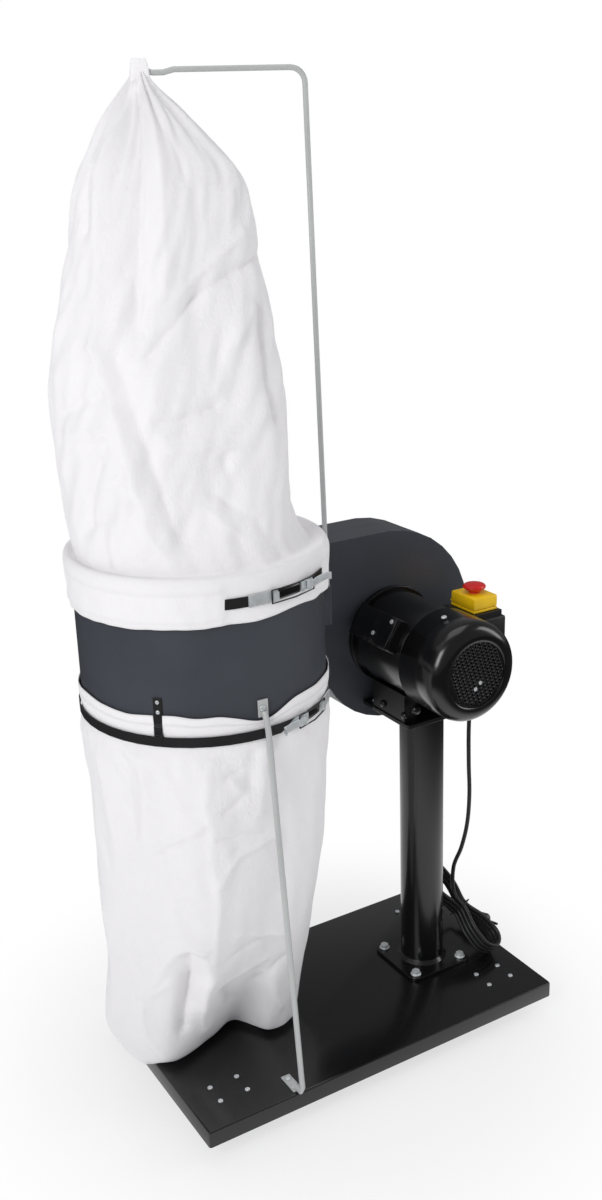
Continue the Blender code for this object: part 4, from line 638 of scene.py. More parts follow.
def fold_depth(folds: Rows, turn: float, height: float) -> float:
    """How far a bag's slack folds push its cloth outwards.

    Args:
        folds: Waves round the bag, phase, drift of the phase per metre, and depth.
        turn: The angle round the bag.
        height: The height above the tray.

    Returns:
        The push, in metres.
    """
    return sum(
        depth * (math.cos(count * turn + phase + drift * height) - FOLD_SINK)
        for count, phase, drift, depth in folds
    )


@dataclass(frozen=True)
class SoftBox:
    """One soft box: its place, what it points at, its width and height, and its power."""

    name: str
    at: Triple
    aim: Triple
    size: Span
    watts: float

    def hang(self) -> None:
        """Hang it in the studio."""
        data = bpy.data.lights.new(self.name, "AREA")
        data.shape = "RECTANGLE"
        data.size, data.size_y = self.size
        data.energy = self.watts
        made = bpy.data.objects.new(self.name, data)
        made.location = self.at
        made.rotation_euler = (Vector(self.aim) - Vector(self.at)).to_track_quat("-Z", "Y").to_euler()
        bpy.context.scene.collection.objects.link(made)


@dataclass
class Studio:
    """The camera, lights, white world and pale floor."""

    stand: Triple = (-0.9994, -1.6342, 1.3929)
    tilt_degrees: Triple = (70.9505, 1.8426, -31.2571)
    lens_mm: float = 38.548
    boxes: tuple[SoftBox, ...] = (
        SoftBox("key", at=(-2.6, -1.5, 2.3), aim=(-0.1, 0.0, 0.8), size=(1.2, 2.0), watts=52.0),
        SoftBox("side", at=(2.6, -1.2, 1.7), aim=(0.1, 0.0, 0.7), size=(0.8, 2.2), watts=20.0),
        SoftBox("top", at=(0.2, 0.3, 3.4), aim=(0.0, 0.0, 0.6), size=(2.0, 2.0), watts=16.0),
    )
    surround: Triple = (0.38, 0.38, 0.39)
    mirrored_surround: Triple = (0.20, 0.20, 0.205)
    floor_half: float = 9.0
    floor_roughness: float = 0.9
    mottle_scale: float = 3.0
    mottle_detail: float = 4.0
    mottle_tones: Span = (0.90, 0.93)
    shadow_reach: Span = (0.30, 0.68)
    shadow_glow: float = 0.66
    dusk_reach: Span = (0.75, 1.30)
    dusk_tone: float = 0.05

    def camera(self) -> None:
        """Stand the camera where the photograph was taken from."""
        data = bpy.data.cameras.new("camera")
        data.lens = self.lens_mm
        made = bpy.data.objects.new("camera", data)
        turn = Euler([math.radians(angle) for angle in self.tilt_degrees]).to_matrix()
        made.matrix_world = Matrix.Translation(TRAY_TOP + Vector(self.stand)) @ turn.to_4x4()
        bpy.context.scene.collection.objects.link(made)
        bpy.context.scene.camera = made

    def world(self) -> None:
        """A white surround, dimmer as a light than it looks."""
        world = bpy.data.worlds.new("studio")
        world.use_nodes = True
        graph = Graph(world.node_tree)
        looked_at = graph.node("ShaderNodeLightPath", {}, "Is Camera Ray")
        mirrored = graph.node("ShaderNodeLightPath", {}, "Is Glossy Ray")
        tone = graph.mix(looked_at, rgba(self.surround), rgba(WHITE))
        gloss = graph.mix(mirrored, tone, rgba(self.mirrored_surround))
        graph.join(gloss, graph.tree.nodes["Background"].inputs["Color"])
        bpy.context.scene.world = world

    def floor(self) -> None:
        """A pale floor that keeps the shadow."""
        shape = bmesh.new()
        bmesh.ops.create_grid(shape, x_segments=1, y_segments=1, size=self.floor_half)
        data = bpy.data.meshes.new("floor")
        shape.to_mesh(data)
        shape.free()
        graph = FinishGraph("floor_finish")
        where = graph.place()
        mottle = graph.cloud(where, self.mottle_scale, self.mottle_detail)
        dark, light = (rgba(WHITE, tone) for tone in self.mottle_tones)
        graph.feed(Base_Color=graph.mix(mottle, dark, light), Roughness=self.floor_roughness)
        away = graph.node("ShaderNodeVectorMath", {0: where}, "Value", operation="LENGTH")
        near, far = self.shadow_reach
        reach = {"Value": away, "From Min": near, "From Max": far, "To Min": self.shadow_glow}
        share = graph.node("ShaderNodeMapRange", reach, interpolation_type="SMOOTHSTEP")
        glow = graph.node("ShaderNodeEmission", {"Color": rgba(WHITE)})
        lit = Sock(graph, graph.shader.outputs[0])
        blank = graph.node("ShaderNodeMixShader", {0: share, 1: lit, 2: glow})
        near, far = self.dusk_reach
        beyond = graph.node("ShaderNodeMapRange", {"Value": away, "From Min": near, "From Max": far})
        mirrored = beyond * graph.node("ShaderNodeLightPath", {}, "Is Glossy Ray")
        dusk = graph.node("ShaderNodeBsdfDiffuse", {"Color": rgba(WHITE, self.dusk_tone)})
        seen = graph.node("ShaderNodeMixShader", {0: mirrored, 1: blank, 2: dusk})
        graph.join(seen, graph.tree.nodes["Material Output"].inputs["Surface"])
        data.materials.append(graph.material)
        made = bpy.data.objects.new("floor", data)
        bpy.context.scene.collection.objects.link(made)

    def build(self) -> None:
        """Set up the whole studio."""
        self.camera()
        self.world()
        self.floor()
        for box in self.boxes:
            box.hang()
        bpy.context.scene.view_settings.view_transform = "Standard"


@dataclass
class MainsCord:
    """The mains lead: hanging from the switch, wound into a tied hank, and on to its plug."""

    radius: float = 0.0037
    low: Vector = TRAY_TOP + Vector((0.310, -0.070, 0.0142))
    high: Vector = TRAY_TOP + Vector((0.2490, 0.0525, 0.140))
    loops: float = 3.5
    lap_start: float = 0.5
    half_width: float = 0.024
    waist: float = 0.0066
    waist_reach: float = 0.030
    pitch: float = 0.0090
    lead_in: float = 0.030
    lead_out: float = 0.020
    plug_lead: float = 0.014
    plug_turn: float = math.radians(20.0)
    plug_back: Vector = TRAY_TOP + Vector((0.3222, 0.0507, 0.0186))
    tie_radius: float = 0.0012
    tie_gap: float = 0.0003
    tie_squareness: float = 0.75
    tie_steps: int = 48
    lap_steps: int = 64
    knot_steps: int = 8
    round_steps: int = 3

    DROP = (
        (0.305, 0.0, 0.5344), (0.305, 0.0, 0.5147), (0.303, -0.002, 0.470), (0.300, -0.004, 0.420),
        (0.301, -0.004, 0.360), (0.304, -0.003, 0.300), (0.303, 0.001, 0.240), (0.295, 0.007, 0.190),
        (0.282, 0.013, 0.150),
    )
    TAIL = ((0.271, 0.040, 0.082), (0.283, 0.060, 0.074), (0.298, 0.074, 0.054), (0.310, 0.076, 0.032))

    def axes(self) -> tuple[Vector, Vector, Vector, Vector]:
        """The hank's own frame.

        Returns:
            Its middle, and unit vectors along it, across it and out of its plane.
        """
        along = (self.high - self.low).normalized()
        across = along.cross(UP).normalized()
        return (self.high + self.low) / 2, along, across, along.cross(across)

    def hank(self) -> list[Vector]:
        """The hank's line: long loops side by side, drawn in at the tie.

        Returns:
            Points along it.
        """
        middle, along, across, out = self.axes()
        run = (self.high - self.low).length - 2 * self.half_width
        turn = math.pi * self.half_width
        lap = 2 * run + 2 * turn
        points = []
        for k in range(round(self.loops * self.lap_steps) + 1):
            done = k / self.lap_steps
            walked = ((done + self.lap_start) % 1.0) * lap
            side = 1.0
            if walked >= run / 2 + turn / 2 and walked < 3 * run / 2 + 3 * turn / 2:
                walked -= run + turn
                side = -1.0
            elif walked >= 3 * run / 2 + 3 * turn / 2:
                walked -= lap
            if abs(walked) <= run / 2:
                u, v = walked, self.half_width
            else:
                bend = (abs(walked) - run / 2) / self.half_width
                u = math.copysign(run / 2 + self.half_width * math.sin(bend), walked)
                v = self.half_width * math.cos(bend)
            drawn = 1 - (1 - self.waist / self.half_width) * math.exp(-((u / self.waist_reach) ** 2))
            layer = (done - self.loops / 2) * self.pitch
            points.append(middle + along * u * side + across * v * drawn * side + out * layer)
        return points

    def smooth(self, knots: Sequence[Vector]) -> list[Vector]:
        """A smooth line through knots.

        Args:
            knots: Points it passes through.

        Returns:
            Closely spaced points.
        """
        padded = [2 * knots[0] - knots[1], *knots, 2 * knots[-1] - knots[-2]]
        line = [knots[0]]
        for a, b, c, d in zip(padded, padded[1:], padded[2:], padded[3:]):
            for k in range(1, self.knot_steps + 1):
                t = k / self.knot_steps
                bend = (2 * a - 5 * b + 4 * c - d) * t * t + (3 * b - a - 3 * c + d) * t * t * t
                line.append((2 * b + (c - a) * t + bend) / 2)
        return line

    def line(self) -> list[Vector]:
        """The whole lead's centreline.

        Returns:
            Points from the gland to the plug.
        """
        loops = self.hank()
        start = (loops[1] - loops[0]).normalized()
        end = (loops[-1] - loops[-2]).normalized()
        drop = [TRAY_TOP + Vector(p) for p in self.DROP] + [loops[0] - start * self.lead_in, loops[0]]
        tail = [loops[-1], loops[-1] + end * self.lead_out, *(TRAY_TOP + Vector(p) for p in self.TAIL)]
        plug_way = Vector((math.sin(self.plug_turn), -math.cos(self.plug_turn), 0.0))
        tail += [self.plug_back - plug_way * self.plug_lead, self.plug_back]
        return self.smooth(drop) + loops[1:] + self.smooth(tail)[1:]

    def curve(self, name: str, points: Sequence[Vector], radius: float, closed: bool) -> bpy.types.Object:
        """A round bar along points.

        Args:
            name: The piece's name.
            points: Its centreline.
            radius: Its radius.
            closed: Whether its ends meet.

        Returns:
            The piece.
        """
        data = bpy.data.curves.new(name, "CURVE")
        data.dimensions = "3D"
        data.bevel_depth = radius
        data.bevel_resolution = self.round_steps
        data.use_fill_caps = True
        spline = data.splines.new("POLY")
        spline.points.add(len(points) - 1)
        for knot, point in zip(spline.points, points):
            knot.co = (*point, 1.0)
        spline.use_cyclic_u = closed
        return settle(bpy.data.objects.new(name, data), "cord_black")

    def tie(self) -> bpy.types.Object:
        """The wire tie round the hank's waist.

        Returns:
            The piece.
        """
        middle, _, across, out = self.axes()
        wide = self.waist + self.radius + self.tie_radius + self.tie_gap
        deep = self.loops / 2 * self.pitch + self.radius + self.tie_radius + self.tie_gap
        points = []
        for k in range(self.tie_steps):
            turn = math.tau * k / self.tie_steps
            x, y = math.cos(turn), math.sin(turn)
            square = max(abs(x), abs(y)) ** self.tie_squareness
            points.append(middle + across * wide * x / square + out * deep * y / square)
        made = self.curve("hank_tie_wire", points, self.tie_radius, True)
        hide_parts("hank_tie")
        return made

    def build(self) -> None:
        """Lay the lead and tie it."""
        points = self.line()
        lead = self.curve("mains_lead", points, self.radius, False)
        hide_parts("cord_drop", "cord_hank", "cord_tail")
        length = sum((b - a).length for a, b in zip(points, points[1:]))
        log.info("mains lead %.3f m", length)
        self.tie()


@dataclass(frozen=True)
class Crease:
    """One fold line in a bag's cloth, standing out or sinking in.

    Its points are given as degrees round the bag and metres above the tray.
    """

    depth: float
    width: float
    line: tuple[Span, ...]

    FELT_WIDTHS = 3.2
    NARROWEST = 0.05
    SHARPNESS = 1.15

    def near(self, turn: float, height: float) -> bool:
        """Whether a point can feel the fold at all.

        Args:
            turn: The angle round the bag.
            height: The height above the tray.

        Returns:
            Whether it is close enough.
        """
        reach = self.FELT_WIDTHS * self.width
        turns = [math.radians(at) for at, _ in self.line]
        heights = [at for _, at in self.line]
        beside = min(turns) - reach / self.NARROWEST < turn < max(turns) + reach / self.NARROWEST
        return beside and min(heights) - reach < height < max(heights) + reach

    def push(self, turn: float, height: float, radius: float) -> float:
        """How far the fold moves the cloth outwards.

        Args:
            turn: The angle round the bag.
            height: The height above the tray.
            radius: The bag's radius there.

        Returns:
            The push, in metres.
        """
        if not self.near(turn, height):
            return 0.0
        here = Vector((turn * radius, height))
        gaps = []
        for (turn_a, height_a), (turn_b, height_b) in zip(self.line, self.line[1:]):
            start = Vector((math.radians(turn_a) * radius, height_a))
            span = Vector((math.radians(turn_b) * radius, height_b)) - start
            along = min(max((here - start).dot(span) / span.length_squared, 0.0), 1.0)
            gaps.append((here - start - span * along).length)
        return self.depth * math.exp(-((min(gaps) / self.width) ** self.SHARPNESS))


@dataclass
class ClothBag:
    """A cloth tube shaped by a function of the way round it and along it."""

    columns: int = 240
    rows: int = 200
    cloth: float = 0.0012
    counted_from: float = 0.35
    creases: tuple[Crease, ...] = ()

    def creased(self, turn: float, height: float, radius: float) -> float:
        """How far all the fold lines move the cloth outwards.

        Args:
            turn: The angle round the bag.
            height: The height above the tray.
            radius: The bag's radius there.

        Returns:
            The push, in metres.
        """
        counted = (turn + self.counted_from) % math.tau - math.tau - self.counted_from
        return sum(crease.push(counted, height, radius) for crease in self.creases)

    def place(self, turn: float, along: float) -> tuple[Vector, float]:
        """Where a point of the cloth lies.

        Args:
            turn: The angle round the bag.
            along: The way along the bag, from 0 to 1.

        Returns:
            The point in the row frame, and how far it is in a seam from 0 to 1.
        """
        raise NotImplementedError

    def sew(self, name: str, flat: Span) -> bpy.types.Object:
        """Make the bag's mesh from a flat grid.

        Args:
            name: The piece's name.
            flat: The cloth's flat width and length, in metres.

        Returns:
            The piece.
        """
        shape = bmesh.new()
        uv = shape.loops.layers.uv.new("flat")
        bmesh.ops.create_grid(
            shape, x_segments=self.columns, y_segments=self.rows, size=GRID_HALF, calc_uvs=False
        )
        seam = shape.verts.layers.float.new("seam")
        for face in shape.faces:
            for loop in face.loops:
                across, along = loop.vert.co.x + GRID_HALF, loop.vert.co.y + GRID_HALF
                loop[uv].uv = (across * flat[0], along * flat[1])
        for vert in shape.verts:
            point, sewn = self.place((vert.co.x + GRID_HALF) * math.tau, vert.co.y + GRID_HALF)
            vert[seam] = sewn
            vert.co = point
        bmesh.ops.remove_doubles(shape, verts=shape.verts, dist=WELD)
        area = sum(face.calc_area() for face in shape.faces)
        log.info("%s: %.3f m2 against %.3f m2 flat", name, area, flat[0] * flat[1])
        made = piece(name, shape, "white_cotton")
        thicken(made, self.cloth)
        return made


@dataclass
class FilterBag(ClothBag):
    """The upper bag, hung from the rod by a loop and clamped to the ring by a rolled hem.

    What is named for where it starts or ends is a share of the way along the bag, from hem to top.
    """

    flat: Span = (1.20, 0.78)
    folds: Rows = ((3, 0.5, 2.2, 0.010), (5, 2.1, -3.4, 0.008))
    fold_rise_heights: Span = (0.870, 0.970)
    body_starts: Span = (0.11, 0.2)
    hem_ends: Span = (0.055, 0.10)
    hem_fade: float = 0.1
    hem_wander: tuple[Ripple, ...] = (Ripple(0.006, 1.6, 0.0, 3.1), Ripple(0.004, 4.0, 0.0, 7.7))
    hem_crinkle: tuple[Ripple, ...] = (Ripple(0.0016, 9.0, 30.0, 5.0),)
    tucked_radius: float = 0.1876
    tucked_turns: Span = (math.radians(-104.0), math.radians(-49.0))
    tucked_fade: float = 0.07
    gather_starts: Span = (0.105, 0.13)
    gather_ends: Span = (0.12, 0.34)
    gather: tuple[Ripple, ...] = (Ripple(0.007, 7.0, 3.0, 1.3),)
    slack_ends: Span = (0.84, 1.0)
    slack: tuple[Ripple, ...] = (
        Ripple(0.006, 1.5, 2.6, 0.4), Ripple(0.005, 3.2, 6.4, 9.2, 0.8), Ripple(0.005, 7.0, 16.0, 6.5, -2.2),
    )
    pleat_starts: Span = (0.78, 0.95)
    pleat_depth: float = 0.15
    pleat_drift: Ripple = Ripple(2.6, 1.2, 4.0, 2.2)
    pleat_turns: float = 4.5
    pleat_sharpness: float = 1.5
    pleat_middle: float = 0.95
    small_pleat_turns: float = 13.0
    small_pleat_share: float = 0.35
    stitch_rows: Span = (0.062, 0.008)
    stitch_half: float = 0.004
    side_seam_turn: float = 1.2
    side_seam_half: float = 0.010
    loop_shift: float = 0.037
    loop_way: Triple = (0.25, 0.97, 0.0)
    loop_grid: tuple[int, int] = (8, 36)
    loop_foot: float = 1.470
    loop_rise: float = 0.0505
    loop_roundness: float = 3.0
    loop_bow: float = 0.0065
    loop_splay: float = 0.003
    loop_width: float = 0.017
    loop_foot_wider: float = 0.012
    loop_cloth: float = 0.0015
    knots: Rows = (
        (0.00, 0.797, 0.0, 0.1918),
        (0.03, 0.822, 0.0, 0.1922),
        (0.055, 0.842, 0.0, 0.1936),
        (0.072, 0.855, 0.0, 0.1944),
        (0.088, 0.865, 0.001, 0.1915),
        (0.100, 0.868, 0.002, 0.1865),
        (0.110, 0.866, 0.004, 0.1790),
        (0.120, 0.865, 0.006, 0.1715),
        (0.135, 0.875, 0.011, 0.1680),
        (0.160, 0.900, 0.018, 0.1670),
        (0.215, 0.950, 0.023, 0.1690),
        (0.380, 1.080, 0.024, 0.1700),
        (0.485, 1.164, 0.024, 0.1570),
        (0.595, 1.250, 0.020, 0.1370),
        (0.690, 1.320, 0.016, 0.1250),
        (0.770, 1.375, 0.017, 0.1110),
        (0.850, 1.428, 0.026, 0.0740),
        (0.895, 1.455, 0.031, 0.0520),
        (0.950, 1.484, 0.036, 0.0245),
        (1.000, 1.506, 0.037, 0.0070),
    )
    creases: tuple[Crease, ...] = (
        Crease(0.013, 0.017, (
            (-145, 1.48), (-152, 1.455), (-160, 1.42), (-163, 1.38), (-160, 1.31), (-157, 1.24),
            (-155, 1.17),
        )),
        Crease(0.011, 0.014, (
            (-155, 1.17), (-149, 1.13), (-141, 1.07), (-137, 1.02), (-133, 0.97), (-126, 0.905),
        )),
        Crease(-0.018, 0.018, ((-126, 1.46), (-131, 1.40), (-133, 1.34), (-135, 1.25), (-133, 1.19))),
        Crease(-0.011, 0.016, ((-145, 1.15), (-136, 1.10), (-128, 1.03), (-122, 0.96), (-117, 0.91))),
        Crease(0.007, 0.013, ((-105, 1.48), (-113, 1.41), (-116, 1.34), (-115, 1.24))),
        Crease(-0.005, 0.009, ((-93, 1.47), (-97, 1.42), (-98, 1.37))),
        Crease(-0.008, 0.010, ((-48, 1.27), (-80, 1.245), (-100, 1.22), (-112, 1.19), (-126, 1.155))),
        Crease(0.006, 0.009, ((-64, 1.30), (-84, 1.27), (-104, 1.235))),
        Crease(-0.014, 0.011, ((-56, 1.205), (-60, 1.155), (-62, 1.11), (-59, 1.06))),
        Crease(0.006, 0.010, ((-64, 1.205), (-82, 1.16), (-90, 1.11))),
        Crease(-0.0015, 0.003, ((-102, 1.36), (-80, 1.36), (-62, 1.365))),
        Crease(-0.007, 0.008, ((-176, 1.075), (-166, 1.09), (-150, 1.105))),
        Crease(-0.007, 0.009, ((-122, 1.07), (-106, 1.075), (-92, 1.085))),
        Crease(0.006, 0.009, ((-174, 1.05), (-160, 1.055), (-148, 1.06))),
        Crease(-0.003, 0.005, ((-158, 1.04), (-149, 1.04))),
        Crease(-0.003, 0.005, ((-116, 1.055), (-107, 1.06))),
        Crease(0.006, 0.009, ((-115, 1.035), (-100, 1.035), (-84, 1.03))),
        Crease(-0.008, 0.010, ((-155, 1.015), (-163, 0.97), (-167, 0.925))),
        Crease(-0.006, 0.008, ((-152, 0.985), (-141, 1.00), (-138, 0.97), (-130, 0.945), (-123, 0.895))),
        Crease(-0.004, 0.008, ((-89, 1.02), (-86, 0.985))),
        Crease(-0.006, 0.010, ((-95, 0.965), (-86, 0.945), (-76, 0.925), (-72, 0.89))),
        Crease(0.006, 0.010, ((-98, 0.945), (-88, 0.915), (-80, 0.885))),
        Crease(-0.008, 0.010, ((-172, 0.91), (-158, 0.935), (-150, 0.945))),
        Crease(-0.008, 0.010, ((-174, 1.39), (-172, 1.35), (-170, 1.31))),
    )

    def tucked(self, angle: float) -> float:
        """How far the hem is tucked in behind the latch, from 0 to 1.

        Args:
            angle: The angle round the bag, between -pi and pi.

        Returns:
            The share.
        """
        first, last = self.tucked_turns
        begun = blend(first - self.tucked_fade, first, angle)
        return begun * (1 - blend(last, last + self.tucked_fade, angle))

    def pleat(self, turn: float, height: float) -> float:
        """How far the gathered top's pleats stand in or out.

        Args:
            turn: The angle round the bag.
            height: The height above the tray.

        Returns:
            The pleat's share of its depth.
        """
        drift = self.pleat_drift.at(turn, height)
        wide = abs(math.cos(self.pleat_turns * turn + drift)) ** self.pleat_sharpness
        small = math.cos(self.small_pleat_turns * turn + 2 * drift)
        return wide + self.small_pleat_share * small - self.pleat_middle

    def place(self, turn: float, along: float) -> tuple[Vector, float]:
        """Where a point of the bag lies: hem, roll, slack body and pleated top.

        Args:
            turn: The angle round the bag.
            along: The way along the bag, from 0 at the hem to 1 at the top.

        Returns:
            The point in the row frame, and how far it is in a seam from 0 to 1.
        """
        height, shift, radius = through(self.knots, along)
        angle = signed(turn)
        body = blend(*self.body_starts, along)
        hem = 1.0 - blend(*self.hem_ends, along)
        tucked = self.tucked(angle)
        radius -= hem * tucked * (radius - self.tucked_radius)
        height += hem * (1 - along / self.hem_fade) * waver(self.hem_wander, turn, height)
        radius += hem * (1 - tucked) * waver(self.hem_crinkle, turn, height)
        gathered = (1 - blend(*self.gather_ends, along)) * blend(*self.gather_starts, along)
        radius += gathered * waver(self.gather, turn, height)
        share = radius / RING_RADIUS * ramp(*self.fold_rise_heights, height)
        radius += share * fold_depth(self.folds, turn, height)
        slack = body * (1 - blend(*self.slack_ends, along))
        radius += slack * (waver(self.slack, turn, height) + self.creased(turn, height, radius))
        radius *= 1 + self.pleat_depth * blend(*self.pleat_starts, along) * self.pleat(turn, height)
        point = Vector((radius * math.cos(turn), radius * math.sin(turn), height))
        stitched = max(0.0, *(1 - abs(along - row) / self.stitch_half for row in self.stitch_rows))
        sewn = 1 - min(abs(angle - self.side_seam_turn) / self.side_seam_half, 1.0)
        return RING_AXIS + BAG_LEAN * shift + point, max(stitched * (1 - tucked), sewn * body)

    def loop(self) -> bpy.types.Object:
        """The folded strap over the rod's tip.

        Returns:
            The piece.
        """
        shape = bmesh.new()
        bmesh.ops.create_grid(
            shape, x_segments=self.loop_grid[0], y_segments=self.loop_grid[1], size=GRID_HALF
        )
        tip = RING_AXIS + BAG_LEAN * self.loop_shift
        across = Vector(self.loop_way).normalized()
        through_way = across.cross(UP)
        for vert in shape.verts:
            side, walk = vert.co.x, vert.co.y / GRID_HALF
            turn = walk * math.pi / 2
            rise = self.loop_foot + self.loop_rise * (1 - abs(walk) ** self.loop_roundness)
            spread = self.loop_bow * math.sin(turn) + self.loop_splay * walk
            width = self.loop_width + self.loop_foot_wider * (1 - math.cos(turn))
            vert.co = tip + across * spread + through_way * side * width + UP * rise
        made = piece("bag_loop", shape, "white_cotton")
        thicken(made, self.loop_cloth)
        return made

    def build(self) -> None:
        """Sew and hang the bag."""
        made = self.sew("filter_bag_cloth", self.flat)
        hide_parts("filter_bag")
        self.loop()


@dataclass
class CollectionBag(ClothBag):
    """The lower bag, strapped to the ring and slack to a flat bottom seam on the tray.

    The neck, the edge and the other spans are heights above the tray, apart from those named as
    shares of the way down the bag.
    """

    flat: Span = (1.20, 0.66)
    top: float = 0.667
    bottom: float = 0.0025
    folds: Rows = ((4, 1.2, 1.6, 0.007), (6, 0.3, -2.4, 0.006))
    fold_fade: Span = (0.500, 0.600)
    neck: Span = (0.600, 0.618)
    edge: Span = (0.640, 0.665)
    edge_wander: tuple[Ripple, ...] = (Ripple(0.006, 1.8, 0.0, 2.5), Ripple(0.004, 5.0, 0.0, 8.5))
    slack: tuple[Ripple, ...] = (
        Ripple(0.006, 2.4, 2.0, 1.9), Ripple(0.004, 5.5, 6.6, 4.2), Ripple(0.002, 9.0, 15.0, 7.1, 2.0),
    )
    slack_end_shares: Span = (0.97, 1.0)
    gather: tuple[Ripple, ...] = (Ripple(0.003, 12.0, 3.0, 5.8),)
    gather_end_shares: Span = (0.05, 0.20)
    flattened_push: float = 0.3
    pressed_shares: Span = (0.985, 1.0)
    seam_reach: float = 0.300
    stitch_share: float = 0.020
    stitch_half: float = 0.003
    panel_seam_turn: float = -1.92
    panel_seam_half: float = 0.010
    hook_half: float = math.radians(2.0)
    hook_clear: float = math.radians(0.12)
    hook_inside: float = math.radians(1.5)
    hook_felt: float = math.radians(2.7)
    hook_drawn: Span = (0.625, 0.645)
    dips: Rows = ((HOOK_TURN, 0.0335, 0.0365), (STRUT_TURN, 0.0, 0.36))
    dip_floor: float = 0.642
    dip_share: float = 0.7
    knots: Rows = (
        (0.002, 0.010, 0.1400, 0.0200),
        (0.006, 0.010, 0.1450, 0.0240),
        (0.030, 0.015, 0.1590, 0.0380),
        (0.080, 0.021, 0.1770, 0.0600),
        (0.140, 0.016, 0.1818, 0.0890),
        (0.210, 0.010, 0.1795, 0.1228),
        (0.300, 0.010, 0.1854, 0.1610),
        (0.400, 0.007, 0.1873, 0.1830),
        (0.495, 0.006, 0.1890, 0.1890),
        (0.590, 0.003, 0.1905, 0.1905),
        (0.612, 0.001, 0.1890, 0.1890),
        (0.620, 0.000, 0.1872, 0.1872),
        (0.639, 0.000, 0.1872, 0.1872),
        (0.646, 0.000, 0.1886, 0.1886),
        (0.656, 0.000, 0.1893, 0.1893),
        (0.670, 0.000, 0.1890, 0.1890),
    )
    seam: Rows = (
        (-0.480, 0.060), (-0.420, 0.060), (-0.335, -0.007), (-0.237, 0.020), (-0.185, 0.039),
        (-0.149, -0.023), (-0.095, -0.021), (-0.030, 0.040), (0.040, 0.040),
    )
    creases: tuple[Crease, ...] = (
        Crease(-0.026, 0.013, ((-124, 0.205), (-121, 0.15), (-118, 0.09))),
        Crease(0.020, 0.013, ((-111, 0.19), (-108, 0.13), (-103, 0.06))),
        Crease(0.008, 0.011, ((-113, 0.24), (-110, 0.19), (-107, 0.13))),
        Crease(-0.018, 0.012, ((-98, 0.145), (-88, 0.10))),
        Crease(0.016, 0.014, ((-72, 0.15), (-64, 0.09), (-58, 0.06))),
        Crease(-0.010, 0.010, ((-76, 0.14), (-64, 0.175))),
        Crease(0.016, 0.018, ((-146, 0.14), (-141, 0.09), (-135, 0.03))),
        Crease(-0.015, 0.015, ((-124, 0.26), (-123, 0.20), (-120, 0.15))),
        Crease(0.0075, 0.010, ((-144, 0.18), (-137, 0.235), (-131, 0.265), (-124, 0.275), (-117, 0.265))),
        Crease(0.005, 0.008, ((-151, 0.155), (-142, 0.17), (-133, 0.195))),
        Crease(0.006, 0.008, (
            (-115, 0.60), (-117, 0.53), (-114, 0.485), (-115, 0.445), (-112, 0.37), (-110, 0.25),
            (-108, 0.19),
        )),
        Crease(0.0055, 0.006, ((-143, 0.445), (-137, 0.455), (-129, 0.475), (-119, 0.497))),
        Crease(-0.005, 0.006, ((-112, 0.475), (-100, 0.47), (-88, 0.46))),
        Crease(0.005, 0.006, ((-112, 0.395), (-107, 0.425), (-101, 0.44), (-89, 0.445), (-79, 0.445))),
        Crease(-0.003, 0.005, ((-138, 0.415), (-120, 0.418))),
        Crease(-0.005, 0.006, ((-109, 0.515), (-101, 0.53))),
        Crease(-0.005, 0.006, ((-108, 0.57), (-102, 0.575))),
        Crease(0.005, 0.006, ((-105, 0.56), (-101, 0.545))),
        Crease(0.006, 0.012, ((-174, 0.575), (-172, 0.51), (-168, 0.45), (-166, 0.41))),
        Crease(-0.0075, 0.016, ((-96, 0.605), (-97, 0.55))),
        Crease(0.006, 0.014, ((-91, 0.60), (-91, 0.50))),
        Crease(0.006, 0.014, ((-144, 0.585), (-148, 0.515), (-152, 0.455))),
        Crease(-0.006, 0.016, ((-154, 0.58), (-156, 0.48))),
        Crease(0.005, 0.008, ((-98, 0.285), (-86, 0.26), (-66, 0.235))),
        Crease(-0.005, 0.008, ((-102, 0.235), (-86, 0.247))),
        Crease(0.005, 0.008, ((-102, 0.165), (-88, 0.175), (-76, 0.19))),
    )

    def beside_hook(self, turn: float, height: float) -> float:
        """Draw the sleeve's columns to the hook's edges, so that it dips just as wide as the hook.

        Args:
            turn: The angle round the bag.
            height: The height above the tray.

        Returns:
            The angle that the column takes there.
        """
        offset = signed(turn) - HOOK_TURN
        if abs(offset) > self.hook_felt:
            return turn
        clear = self.hook_clear if abs(offset) > self.hook_inside else -self.hook_clear
        edge = math.copysign(self.hook_half + clear, offset)
        return turn + (edge - offset) * blend(*self.hook_drawn, height)

